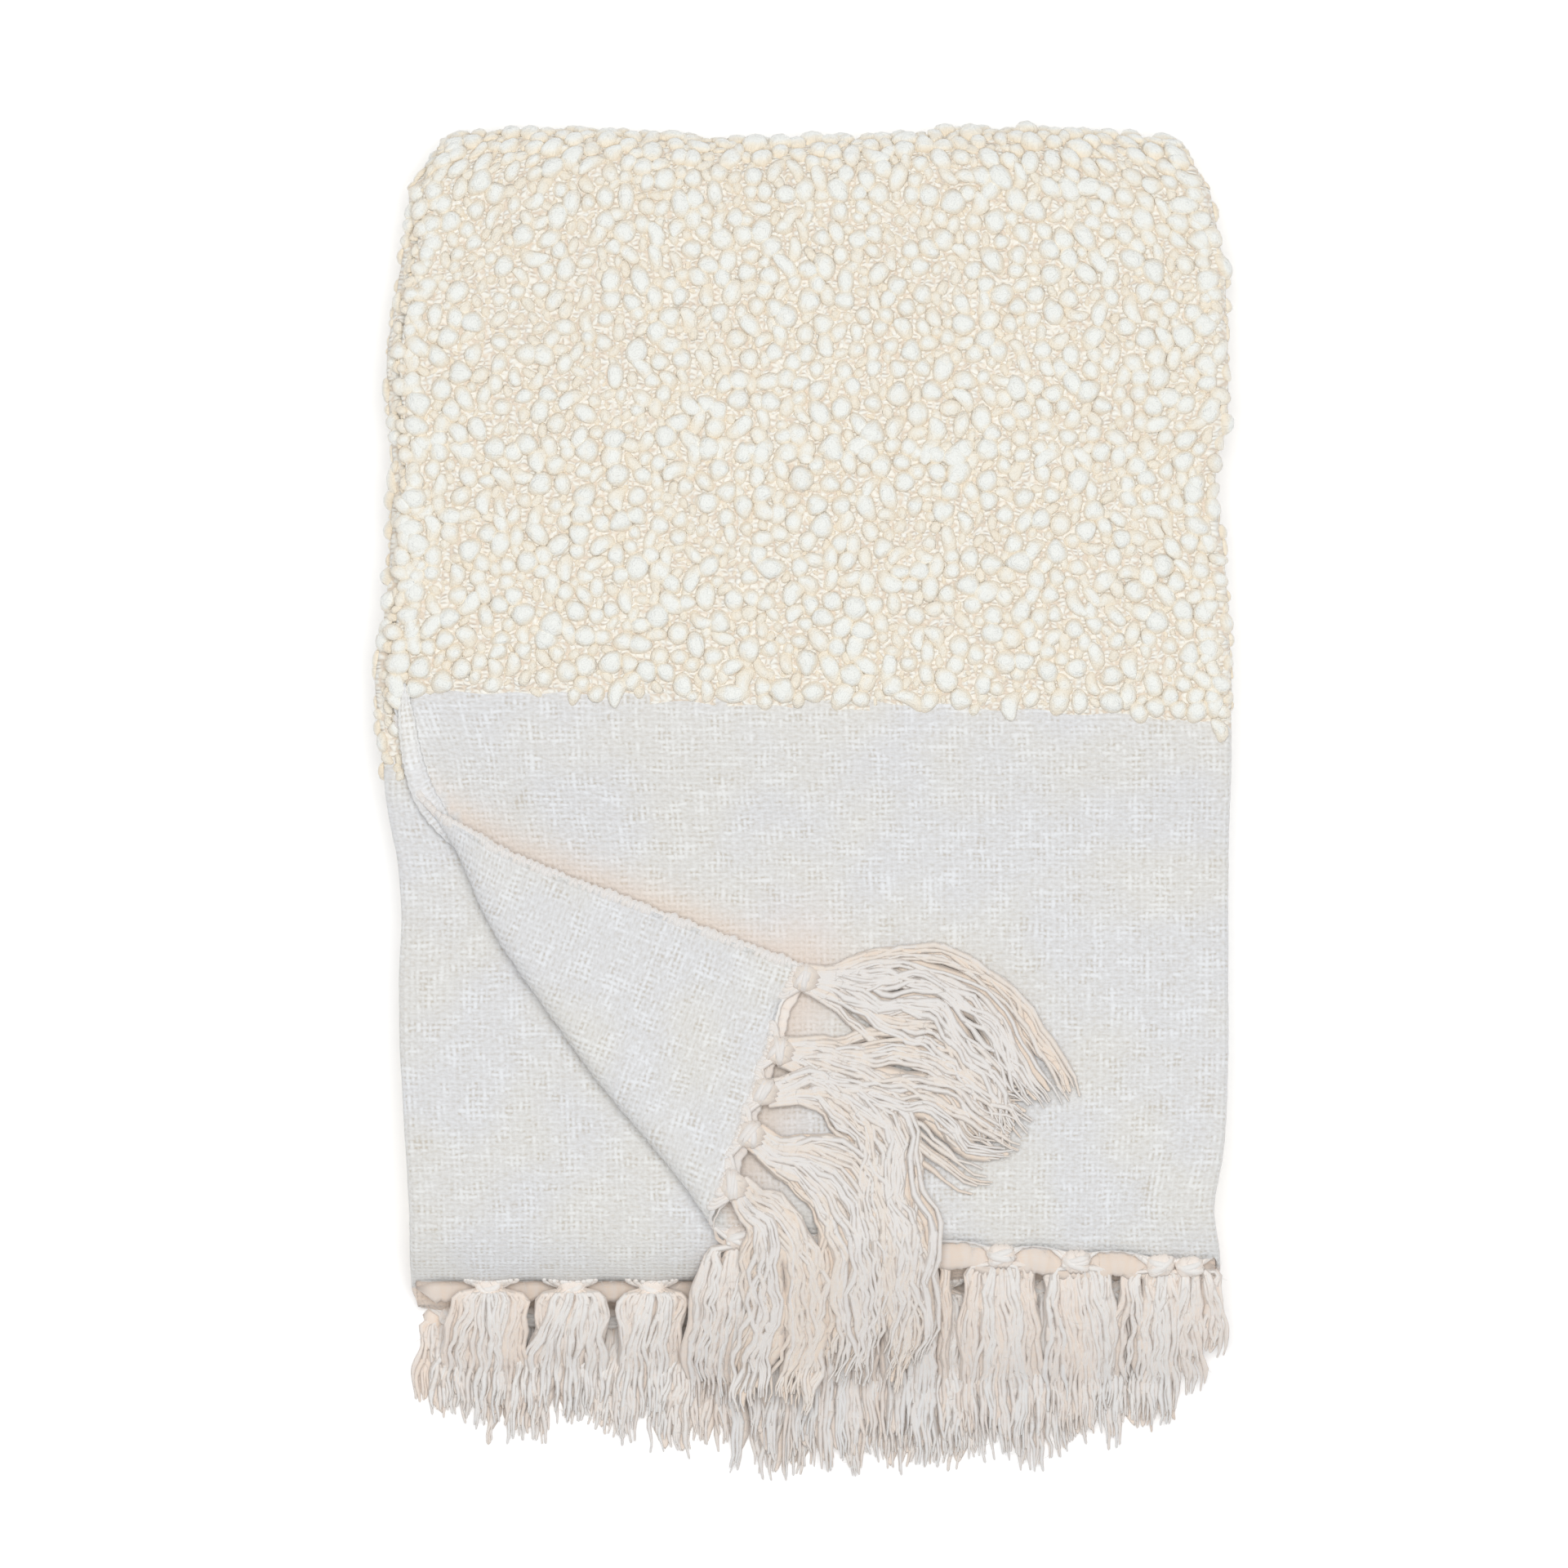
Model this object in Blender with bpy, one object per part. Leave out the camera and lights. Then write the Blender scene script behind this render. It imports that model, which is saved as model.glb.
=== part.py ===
"""Folded boucle throw with knotted tassels.

One woven cloth, folded in thirds across its width and folded over twice along its length, lies flat
with its near end, a plain border with tassels, on top. One corner of the top layer is turned back.

Everything is in metres. X runs across the folded throw, Y away from the near hem, Z up.
The cloth is drawn flat, in pattern sizes, and each of its points is then folded into place:
a section across the stack gives its place among the layers, and a path around the stack carries
that section over the top panel, round the top fold, back along the floor, round the foot fold
and into the inner panel.
"""
import math
import random

import bmesh
import bpy
import numpy as np
from mathutils import Matrix, Vector

# Flat cloth.
CLOTH_WIDTH = 1.270
CLOTH_LENGTH = 1.520
PLAIN_BORDER = 0.275
FIRST_FOLD = 0.4185
SECOND_FOLD = 0.8455
FOLD_BAND = 0.010

# Thickness of the cloth and the air between its layers.
BOUCLE_THICKNESS = 0.0068
PLAIN_THICKNESS = 0.0026
LAYER_GAP = 0.0008
LAYER_PITCH = BOUCLE_THICKNESS + LAYER_GAP

# The stack seen from above.
HALF_WIDTH = 0.2135
SELVEDGE_SETBACK = 0.009

# The path around the stack, measured on its outer side.
TOP_FOLD_Y = 0.5445
TOP_FOLD_RADIUS = 0.0265
FOOT_FOLD_Y = 0.016
FOOT_FOLD_RADIUS = 0.023
PATH_STEP = 0.001

# Outer side of the top panel, from beyond the hem to the top fold.
TOP_PROFILE = (
    # (y, height)
    (-0.074, 0.0100),
    (-0.058, 0.0105),
    (-0.042, 0.0125),
    (-0.030, 0.0205),
    (-0.021, 0.0325),
    (-0.012, 0.0445),
    (0.000, 0.0532),
    (0.018, 0.0570),
    (0.045, 0.0565),
    (0.075, 0.0530),
    (0.105, 0.0500),
    (0.150, 0.0485),
    (0.210, 0.0505),
    (0.255, 0.0572),
    (0.300, 0.0605),
    (0.360, 0.0600),
    (0.430, 0.0580),
    (0.500, 0.0545),
    (TOP_FOLD_Y, 2 * TOP_FOLD_RADIUS),
    (TOP_FOLD_Y + 0.040, 2 * TOP_FOLD_RADIUS),
)

# Outer side of the inner panel, from the foot fold to beyond the far hems.
INNER_PROFILE = (
    # (y, height)
    (FOOT_FOLD_Y - 0.020, 2 * FOOT_FOLD_RADIUS),
    (FOOT_FOLD_Y, 2 * FOOT_FOLD_RADIUS),
    (0.045, 0.0455),
    (0.072, 0.0408),
    (0.100, 0.0362),
    (0.150, 0.0346),
    (0.250, 0.0345),
    (0.400, 0.0345),
    (0.440, 0.0345),
)

# How far the two sides of the top panel stand inside (+) or outside (-) the half width.
SIDE_LINES = (
    # (y, left, right)
    (-0.050, 0.009, 0.003),
    (0.020, 0.009, 0.002),
    (0.100, 0.004, -0.001),
    (0.200, 0.001, -0.001),
    (0.240, -0.005, -0.002),
    (0.285, -0.006, -0.004),
    (0.350, -0.003, -0.001),
    (0.430, 0.000, -0.003),
    (0.500, 0.003, -0.001),
    (0.545, 0.008, 0.007),
)
TOP_FOLD_INSET = 0.012
FLOOR_INSET = 0.003

# The near hem of the top layer runs slightly aslant.
HEM_AT_LEFT = 0.012
HEM_AT_RIGHT = -0.006

# Soft waves in the top panel and along the top fold.
PANEL_WAVE = 0.0012
TOP_FOLD_WAVE = 0.003
TOP_FOLD_WAVE_LENGTH = 0.231
TOP_FOLD_WAVE_CREST = -0.130
LOOP_LUMP = 0.0009

# The turned corner: two points on its crease in the top layer, as distance from the selvedge and
# distance from the hem line, and the roll between the layer and the flap.
CREASE_START = (0.004, 0.229)
CREASE_END = (0.150, 0.016)
ROLL_RADIUS = 0.007
ROLL_STEPS = 4
FLAP_SETTLE = 0.005
FLAP_SETTLE_LENGTH = 0.070

# Cells of the flat cloth.
CELLS_LAYER = 8
CELLS_FOLD = 4
HEM_ROWS = (-0.060, 0.048)
HEM_ROW_STEP = 0.012
HEM_SNAP = 0.003
PLAIN_ROWS = 5
BOUCLE_ROWS = 6
TURN_ROWS = 8
FLOOR_ROWS = 8
INNER_ROWS = 4

# Tassels.
KNOT_GAP = 0.0005
KNOT_LENGTH = 0.0085
KNOT_WIDTH = 0.0100
KNOT_HEIGHT = 0.0064
KNOT_RISE = 0.0019
KNOT_TAPER = 0.72
TUCKED_KNOT_HEIGHT = 0.0040
TUCKED_KNOT_RISE = 0.0004
LOCK_PITCH = 0.0026
LOCK_FILL = 0.78
LOCK_TIP = 0.72
LOCK_HEIGHT = 0.0024
LOCK_LIFT = 0.0012
DROP_SLOPE = 1.15
FRINGE_LIFT = 0.0078
LYING_LIFT = 0.0010

# Near tassels that hang over the foot, layer by layer: place of the knot, tip and locks.
HANGING_TASSELS = (
    # (layer, x of the knot, x of the tip, y of the tip, locks)
    (0, -0.0360, -0.0440, -0.066, 5),
    (0, 0.0085, 0.0055, -0.108, 6),
    (0, 0.0525, 0.0515, -0.109, 6),
    (0, 0.0980, 0.0990, -0.107, 6),
    (0, 0.1365, 0.1395, -0.103, 6),
    (0, 0.1800, 0.1820, -0.090, 6),
    (0, 0.1950, 0.1985, -0.056, 4),
    (1, -0.1640, -0.1690, -0.088, 5),
    (1, -0.1220, -0.1290, -0.090, 5),
    (1, -0.0805, -0.0850, -0.098, 5),
    (1, -0.0230, -0.0270, -0.104, 5),
    (1, 0.0225, 0.0220, -0.106, 5),
    (1, 0.0670, 0.0670, -0.104, 5),
    (1, 0.1170, 0.1180, -0.100, 5),
    (1, 0.1545, 0.1560, -0.092, 5),
    (2, -0.1830, -0.1890, -0.084, 4),
    (2, -0.1430, -0.1490, -0.092, 4),
    (2, -0.1015, -0.1070, -0.084, 4),
    (2, -0.0600, -0.0660, -0.100, 4),
    (2, -0.0070, -0.0110, -0.108, 4),
    (2, 0.0375, 0.0368, -0.102, 4),
    (2, 0.0825, 0.0830, -0.106, 4),
    (2, 0.1665, 0.1687, -0.086, 4),
)

# Tassels of the turned corner, and the way each lies over the top panel.
CORNER_TASSELS = (
    # (distance from the selvedge, ((x, y), ...) from the knot to the tip)
    (0.005, ((0.016, 0.136), (0.062, 0.131), (0.100, 0.092), (0.117, 0.066))),
    (0.047, ((0.006, 0.099), (0.032, 0.081), (0.058, 0.082), (0.084, 0.065), (0.100, 0.054))),
    (0.071, ((0.002, 0.066), (0.024, 0.064), (0.039, 0.048), (0.041, 0.020), (0.049, -0.018))),
    (0.095, ((0.000, 0.046), (0.014, 0.036), (0.020, 0.018), (0.021, -0.008), (0.028, -0.026))),
    (0.122, ((-0.026, 0.012), (-0.018, 0.000), (-0.016, -0.018), (-0.016, -0.036))),
)
CORNER_LOCKS = 5
LOCK_STEPS = 5
LYING_STEPS = 7

# Far tassels, tucked inside the stack.
FAR_TASSELS = 28
FAR_HALF_SPREAD = 0.196
FAR_LENGTH = 0.100
FAR_LOCKS = 3
FAR_STEPS = 1

# Finishes, as linear colours.
BOUCLE_CREAM = (0.83, 0.80, 0.71, 1.0)
FRINGE_CREAM = (0.80, 0.76, 0.70, 1.0)
CLOTH_ROUGHNESS = 0.9


def smooth_step(value):
    """Ease from 0 to 1 as the value goes from 0 to 1."""
    value = min(max(value, 0.0), 1.0)
    return value * value * (3.0 - 2.0 * value)


def column(table, index):
    """One column of a table."""
    return [row[index] for row in table]


def smooth_curve(points, step):
    """Points close together on a smooth curve through all but the first and last given points."""
    knots = np.array(points, dtype=float)
    curve = []
    for a, b, c, d in zip(knots, knots[1:], knots[2:], knots[3:]):
        count = max(2, int(np.linalg.norm(c - b) / step))
        for t in np.arange(count) / count:
            curve.append(0.5 * (2 * b + (c - a) * t + (2 * a - 5 * b + 4 * c - d) * t ** 2
                                + (3 * b - a - 3 * c + d) * t ** 3))
    curve.append(knots[-2])
    return np.array(curve)


def half_turn(y, z, radius, start):
    """Points of a half circle around (y, z), which turns from its start angle against Z then back."""
    count = int(math.pi * radius / PATH_STEP)
    angles = start - math.pi * np.arange(1, count) / count
    return np.column_stack((y + radius * np.cos(angles), z + radius * np.sin(angles)))


class StackPath:
    """The outer side of the stack as one path, with its distance from the near hem line."""

    def __init__(self):
        top = smooth_curve(TOP_PROFILE, PATH_STEP)
        top_turn = half_turn(TOP_FOLD_Y, TOP_FOLD_RADIUS, TOP_FOLD_RADIUS, math.pi / 2)
        count = int((TOP_FOLD_Y - FOOT_FOLD_Y) / PATH_STEP)
        floor = np.column_stack((np.linspace(TOP_FOLD_Y, FOOT_FOLD_Y, count + 1), np.zeros(count + 1)))
        foot_turn = half_turn(FOOT_FOLD_Y, FOOT_FOLD_RADIUS, FOOT_FOLD_RADIUS, -math.pi / 2)
        inner = smooth_curve(INNER_PROFILE, PATH_STEP)
        self.points = np.vstack((top, top_turn, floor, foot_turn, inner))
        lengths = np.linalg.norm(np.diff(self.points, axis=0), axis=1)
        self.distance = np.concatenate(([0.0], np.cumsum(lengths)))
        self.distance -= np.interp(0.0, top[:, 0], self.distance[:len(top)])
        self.tangents = np.gradient(self.points, self.distance, axis=0)
        self.top_count = len(top)
        self.top_end = self.distance[len(top) - 1]
        self.floor_start = self.distance[len(top) + len(top_turn)]
        self.floor_end = self.distance[len(top) + len(top_turn) + count]
        self.inner_start = self.distance[len(self.points) - len(inner)]

    def frame(self, s):
        """Place, outward normal and tangent of the path at a distance from the hem line."""
        y, z = (np.interp(s, self.distance, self.points[:, axis]) for axis in (0, 1))
        ty, tz = (np.interp(s, self.distance, self.tangents[:, axis]) for axis in (0, 1))
        size = math.hypot(ty, tz)
        return Vector((0, y, z)), Vector((0, -tz / size, ty / size)), Vector((0, ty / size, tz / size))


PATH = StackPath()
LAYER_LAG = math.pi * LAYER_PITCH
NEAR_BORDER_END = PLAIN_BORDER
TURN_LOSS = math.pi * BOUCLE_THICKNESS / 2
FAR_HEM = CLOTH_LENGTH + 2 * TURN_LOSS
FAR_BORDER_START = FAR_HEM - PLAIN_BORDER
HALF_BAND = FOLD_BAND / 2
LAYER_SPANS = (
    (0.0, FIRST_FOLD - HALF_BAND),
    (FIRST_FOLD + HALF_BAND, SECOND_FOLD - HALF_BAND),
    (SECOND_FOLD + HALF_BAND, CLOTH_WIDTH),
)


def layer_at(u):
    """Layer of a place across the flat cloth: 0, 1 or 2, and between them in the folds."""
    first = min(max((u - LAYER_SPANS[0][1]) / FOLD_BAND, 0.0), 1.0)
    second = min(max((u - LAYER_SPANS[1][1]) / FOLD_BAND, 0.0), 1.0)
    return first + second


def near_hem(u):
    """Distance of the near hem along the path: inner layers turn on smaller arcs and reach further."""
    share = min(max((u - CREASE_END[0]) / (LAYER_SPANS[0][1] - CREASE_END[0]), 0.0), 1.0)
    skew = HEM_AT_LEFT + (HEM_AT_RIGHT - HEM_AT_LEFT) * share
    layer = layer_at(u)
    return skew * max(0.0, 1.0 - layer) + HEM_AT_RIGHT * min(layer, 1.0) - LAYER_LAG * layer


def far_hem(u):
    """Distance of the far hem along the path."""
    return FAR_HEM + LAYER_LAG * layer_at(u)


def thickness(layer, s):
    """Thickness of the cloth: plain in the two borders, boucle between them."""
    near = (s - NEAR_BORDER_END + LAYER_LAG * layer) / LAYER_LAG + 0.5
    far = (FAR_BORDER_START + LAYER_LAG * layer - s) / LAYER_LAG + 0.5
    share = min(max(min(near, far), 0.0), 1.0)
    return PLAIN_THICKNESS + (BOUCLE_THICKNESS - PLAIN_THICKNESS) * share


def side_insets(s):
    """How far the left and right sides stand inside the half width at a distance along the path."""
    rows = column(SIDE_LINES, 0)
    y = PATH.frame(s)[0].y
    left, right = (np.interp(y, rows, column(SIDE_LINES, side)) for side in (1, 2))
    if s > PATH.top_end:
        turned = min((s - PATH.top_end) / (PATH.floor_start - PATH.top_end), 1.0)
        bulge = math.sin(math.pi * turned) * TOP_FOLD_INSET
        left = left + (FLOOR_INSET - left) * turned + bulge
        right = right + (FLOOR_INSET - right) * turned + bulge
    return left, right


def section(u, s):
    """Across the stack: x, depth under the outer side, and the direction of the cloth's face."""
    inset_left, inset_right = side_insets(s)
    t0, t1, t2 = (thickness(layer, s) for layer in range(3))
    depth0 = t0 / 2
    depth1 = t0 + LAYER_GAP + t1 / 2
    depth2 = t0 + t1 + 2 * LAYER_GAP + t2 / 2
    right_radius = (depth1 - depth0) / 2
    left_radius = (depth2 - depth1) / 2
    right_x = HALF_WIDTH - inset_right - right_radius - thickness(0.5, s) / 2
    left_x = -HALF_WIDTH + inset_left + left_radius + thickness(1.5, s) / 2
    selvedge_x = -HALF_WIDTH + inset_left + SELVEDGE_SETBACK
    low_selvedge_x = HALF_WIDTH - inset_right - SELVEDGE_SETBACK
    if u < LAYER_SPANS[0][1]:
        share = u / LAYER_SPANS[0][1]
        return selvedge_x + (right_x - selvedge_x) * share, depth0, (0.0, 1.0)
    if u < LAYER_SPANS[1][0]:
        angle = math.pi * (u - LAYER_SPANS[0][1]) / FOLD_BAND
        depth = (depth0 + depth1) / 2 - right_radius * math.cos(angle)
        return right_x + right_radius * math.sin(angle), depth, (math.sin(angle), math.cos(angle))
    if u < LAYER_SPANS[1][1]:
        share = (u - LAYER_SPANS[1][0]) / (LAYER_SPANS[1][1] - LAYER_SPANS[1][0])
        return right_x + (left_x - right_x) * share, depth1, (0.0, -1.0)
    if u < LAYER_SPANS[2][0]:
        angle = math.pi * (u - LAYER_SPANS[1][1]) / FOLD_BAND
        depth = (depth1 + depth2) / 2 - left_radius * math.cos(angle)
        return left_x - left_radius * math.sin(angle), depth, (math.sin(angle), -math.cos(angle))
    share = (u - LAYER_SPANS[2][0]) / (LAYER_SPANS[2][1] - LAYER_SPANS[2][0])
    return left_x + (low_selvedge_x - left_x) * share, depth2, (0.0, 1.0)


def place_across(layer, x, s):
    """Place across the flat cloth of the point of a layer that lies at x."""
    start, end = LAYER_SPANS[layer]
    start_x, end_x = section(start, s)[0], section(end - 1e-6, s)[0]
    return start + (end - start) * (x - start_x) / (end_x - start_x)


def wave(x, y, s):
    """Soft waves: up and down in the top panel, and in and out along the top fold."""
    rise = 0.0
    if s < PATH.top_end:
        fade = smooth_step((y - 0.04) / 0.06) * smooth_step((TOP_FOLD_Y - y) / 0.08)
        rise = PANEL_WAVE * fade * math.sin(33.0 * x + 11.0 * y + 0.7) * math.sin(24.0 * y - 16.0 * x + 1.9)
    reach = smooth_step((y - 0.470) / 0.080)
    crest = math.cos(2 * math.pi * (x - TOP_FOLD_WAVE_CREST) / TOP_FOLD_WAVE_LENGTH)
    return Vector((0, TOP_FOLD_WAVE * crest * reach, rise))


def loop_lump(u, s):
    """How far the pile stands above the even boucle on the outer side of the top layer."""
    pile = (thickness(0, s) - PLAIN_THICKNESS) / (BOUCLE_THICKNESS - PLAIN_THICKNESS)
    if u > FIRST_FOLD or s > PATH.floor_start - 0.012:
        return 0.0
    return LOOP_LUMP * pile * (1.0 + math.sin(171.0 * u + 63.0 * s) * math.sin(149.0 * s - 58.0 * u))


def crease_frame():
    """The crease's start, and the directions along it and towards the corner, on the flat cloth."""
    start = Vector(CREASE_START)
    along = (Vector(CREASE_END) - start).normalized()
    outward = Vector((along.y, -along.x))
    return start - outward * ROLL_RADIUS, along, outward


def stacked_point(u, s, face, rise=0.0, turn=0.0, turn_axis=None):
    """Place of a point of the folded stack. Rise lifts it, and turn rolls its face over."""
    across = min(u, 0.0)
    x, depth, (face_x, face_n) = section(max(u, 0.0), s)
    origin, normal, tangent = PATH.frame(s)
    centre = origin + Vector((x + across, 0, 0)) + normal * (rise - depth)
    direction = Vector((face_x, 0, 0)) + normal * face_n
    if turn_axis is not None:
        slant = Vector((turn_axis.x, 0, 0)) + tangent * turn_axis.y
        direction = normal * math.cos(turn) - slant * math.sin(turn)
    half = thickness(layer_at(u), s) / 2
    centre += wave(x + across, origin.y, s)
    return centre + direction * (half * face)


def fold_point(u, s, face):
    """Place of a point of the cloth. Face is 1 on its right side, -1 on its wrong side, 0 between."""
    lump = loop_lump(u, s) if face > 0 else 0.0
    start, along, outward = crease_frame()
    reach = (Vector((u, s)) - start).dot(outward)
    if u > LAYER_SPANS[0][1] or s > NEAR_BORDER_END or reach <= 0.0:
        return stacked_point(u, s, face, lump * max(0.0, math.cos(0.5 * math.pi * layer_at(u))))
    angle = min(reach / ROLL_RADIUS, math.pi)
    beyond = max(0.0, reach - math.pi * ROLL_RADIUS)
    moved = Vector((u, s)) + outward * (ROLL_RADIUS * math.sin(angle) - beyond - reach)
    settle = FLAP_SETTLE * smooth_step(beyond / FLAP_SETTLE_LENGTH)
    rise = ROLL_RADIUS * (1.0 - math.cos(angle)) - settle
    return stacked_point(moved.x, moved.y, face, rise, angle, outward)


def flat_columns():
    """Places across the flat cloth where its cells begin: even in the layers, close in the folds."""
    places = []
    for start, end in LAYER_SPANS:
        places += list(np.linspace(start, end, CELLS_LAYER + 1))
    for start in (LAYER_SPANS[0][1], LAYER_SPANS[1][1]):
        places += list(np.linspace(start, start + FOLD_BAND, CELLS_FOLD + 1)[1:-1])
    return sorted(places)


def flat_rows():
    """Distances along the path where rows of cells begin."""
    near_step = NEAR_BORDER_END - 2.5 * LAYER_LAG
    far_step = FAR_BORDER_START - 0.5 * LAYER_LAG
    rows = list(np.arange(HEM_ROWS[0], HEM_ROWS[1] + HEM_ROW_STEP / 2, HEM_ROW_STEP))
    rows += list(np.linspace(rows[-1], near_step, PLAIN_ROWS + 1)[1:])
    rows += [near_step + LAYER_LAG * index for index in (1, 2, 3)]
    rows += list(np.linspace(rows[-1], PATH.top_end, BOUCLE_ROWS + 1)[1:])
    rows += list(np.linspace(PATH.top_end, PATH.floor_start, TURN_ROWS + 1)[1:])
    rows += list(np.linspace(PATH.floor_start, PATH.floor_end, FLOOR_ROWS + 1)[1:])
    rows += list(np.linspace(PATH.floor_end, PATH.inner_start, TURN_ROWS + 1)[1:])
    rows += [far_step + LAYER_LAG * index for index in (0, 1, 2, 3)]
    rows += list(np.linspace(rows[-1], FAR_HEM, INNER_ROWS + 1)[1:])
    rows += [FAR_HEM + LAYER_LAG * index / 2 for index in (1, 2, 3, 4)]
    return rows


def flat_cloth():
    """The cloth drawn flat as one mesh of cells, cut along the roll of its turned corner."""
    columns = flat_columns()
    rows = flat_rows()
    mesh = bmesh.new()
    grid = {}
    for place, u in enumerate(columns):
        ends = near_hem(u), far_hem(u)
        first = max(row for row, s in enumerate(rows) if s < ends[0] + HEM_SNAP)
        last = min(row for row, s in enumerate(rows) if s > ends[1] - HEM_SNAP)
        for row in range(first, last + 1):
            s = {first: ends[0], last: ends[1]}.get(row, rows[row])
            grid[place, row] = mesh.verts.new((u, s, 0.0))
    for place in range(len(columns) - 1):
        for row in range(len(rows) - 1):
            cell = ((place, row), (place + 1, row), (place + 1, row + 1), (place, row + 1))
            corners = [grid[corner] for corner in cell if corner in grid]
            if len(corners) > 2:
                mesh.faces.new(corners)
    start, along, outward = crease_frame()
    for index in range(ROLL_STEPS + 1):
        place = start + outward * (math.pi * ROLL_RADIUS * index / ROLL_STEPS)
        everything = mesh.verts[:] + mesh.edges[:] + mesh.faces[:]
        bmesh.ops.bisect_plane(mesh, geom=everything, dist=1e-5, plane_co=place.to_3d(),
                               plane_no=outward.to_3d())
    bmesh.ops.triangulate(mesh, faces=mesh.faces[:])
    return mesh


def make_cloth(material):
    """The folded cloth: the flat one made a slab, and every point of the slab folded into place."""
    mesh = flat_cloth()
    extruded = bmesh.ops.extrude_face_region(mesh, geom=mesh.faces[:])
    raised = [item for item in extruded["geom"] if isinstance(item, bmesh.types.BMVert)]
    bmesh.ops.translate(mesh, verts=raised, vec=(0, 0, 1))
    bmesh.ops.recalc_face_normals(mesh, faces=mesh.faces[:])
    for vert in mesh.verts:
        face = 1 if vert.co.z > 0.5 else -1
        vert.co = fold_point(vert.co.x, vert.co.y, face)
    bmesh.ops.triangulate(mesh, faces=mesh.faces[:])
    return finish_object("throw_cloth", mesh, material)


def finish_object(name, mesh, material):
    """Turn an edited mesh into an object with its material."""
    data = bpy.data.meshes.new(name)
    mesh.to_mesh(data)
    mesh.free()
    data.materials.append(material)
    made = bpy.data.objects.new(name, data)
    bpy.context.collection.objects.link(made)
    return made


def layer_tops():
    """Height over Y of each layer's upper side beyond and near the foot, highest first."""
    tops = []
    for layer in range(3):
        u = sum(LAYER_SPANS[layer]) / 2
        upper = -1 if layer == 1 else 1
        places = [stacked_point(u, s, upper) for s in np.arange(near_hem(u), 0.080, 0.002)]
        tops.append([(place.y, place.z) for place in places])
    return tops


LAYER_TOPS = layer_tops()


def resting_height(layer, y):
    """Height at which locks of a layer's tassels lie: on the layers below, and at last on the floor."""
    height = 0.0
    for tops in LAYER_TOPS[layer + 1:]:
        for top_y, top_z in tops:
            height = max(height, top_z + LOCK_LIFT - DROP_SLOPE * abs(top_y - y))
    return height


def top_height(x, y):
    """Height at which locks lie on the top panel, and over the knots and locks beyond its hem."""
    lift = LYING_LIFT + FRINGE_LIFT * smooth_step((0.026 - y) / 0.014)
    count = PATH.top_count
    s = float(np.interp(y, PATH.points[:count, 0], PATH.distance[:count]))
    return PATH.frame(s)[0].z + wave(x, y, s).z + lift


def knot_frame(u, end):
    """Where a knot sits on a hem: its seat, the way out of the cloth, and across it."""
    hem = near_hem(u) if end == "near" else far_hem(u)
    inward = 0.004 if end == "near" else -0.004
    point = fold_point(u, hem, 0)
    outward = (point - fold_point(u, hem + inward, 0)).normalized()
    across = Vector((outward.y, -outward.x, 0.0)).normalized()
    rise = KNOT_RISE if end == "near" else TUCKED_KNOT_RISE
    return point + across.cross(outward) * rise, outward, across


def make_knot(mesh, point, outward, across, cells, height):
    """A knot as a short drum. Returns its open lower side as cells, each a loop of four points."""
    upward = across.cross(outward)
    rings = []
    for along, scale in ((KNOT_GAP, KNOT_TAPER), (KNOT_GAP + KNOT_LENGTH, 1.0)):
        ring = []
        for index in range(cells + 1):
            place = 2.0 * index / cells - 1.0
            half = height / 2 * scale * math.sqrt(1.0 - 0.75 * place * place)
            centre = point + outward * along + across * (KNOT_WIDTH / 2 * scale * place)
            ring.append([mesh.verts.new(centre + upward * (half * side)) for side in (-1, 1)])
        rings.append(ring)
    upper, lower = rings
    for index in range(cells):
        a, b = upper[index], upper[index + 1]
        c, d = lower[index], lower[index + 1]
        mesh.faces.new((a[0], b[0], b[1], a[1]))
        mesh.faces.new((a[1], b[1], d[1], c[1]))
        mesh.faces.new((b[0], a[0], c[0], d[0]))
    mesh.faces.new((upper[0][0], upper[0][1], lower[0][1], lower[0][0]))
    mesh.faces.new((upper[-1][1], upper[-1][0], lower[-1][0], lower[-1][1]))
    return [(lower[i][0], lower[i + 1][0], lower[i + 1][1], lower[i][1]) for i in range(cells)]


def make_lock(mesh, root, path):
    """A lock of three sides that grows out of one cell of a knot and follows its path."""
    previous = None
    for index, (place, pitch) in enumerate(path):
        ahead = path[min(index + 1, len(path) - 1)][0] - path[max(index - 1, 0)][0]
        side = Vector((-ahead.y, ahead.x, 0.0)).normalized()
        taper = LOCK_TIP if index == len(path) - 1 else 1.0
        half = side * (pitch * LOCK_FILL / 2 * taper)
        ring = [mesh.verts.new(place + half), mesh.verts.new(place - half),
                mesh.verts.new(place + Vector((0, 0, LOCK_HEIGHT * taper)))]
        if previous is None:
            a, b, c, d = root
            mesh.faces.new((a, b, ring[1], ring[0]))
            mesh.faces.new((b, c, ring[2], ring[1]))
            mesh.faces.new((c, d, ring[2]))
            mesh.faces.new((d, a, ring[0], ring[2]))
        else:
            for corner in range(3):
                following = (corner + 1) % 3
                mesh.faces.new((previous[following], previous[corner], ring[corner], ring[following]))
        previous = ring
    mesh.faces.new((previous[2], previous[1], previous[0]))


def make_tassel(name, material, u, end, locks, lock_path):
    """One tassel: its knot at the hem, and its locks, each along the path that lock_path gives."""
    mesh = bmesh.new()
    point, outward, across = knot_frame(u, end)
    height = KNOT_HEIGHT if end == "near" else TUCKED_KNOT_HEIGHT
    roots = make_knot(mesh, point, outward, across, locks, height)
    start = point + outward * (KNOT_GAP + KNOT_LENGTH)
    for index, root in enumerate(roots):
        make_lock(mesh, root, lock_path(start, outward, across, index - (locks - 1) / 2))
    bmesh.ops.recalc_face_normals(mesh, faces=mesh.faces[:])
    bmesh.ops.triangulate(mesh, faces=mesh.faces[:])
    return finish_object(name, mesh, material)


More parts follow.
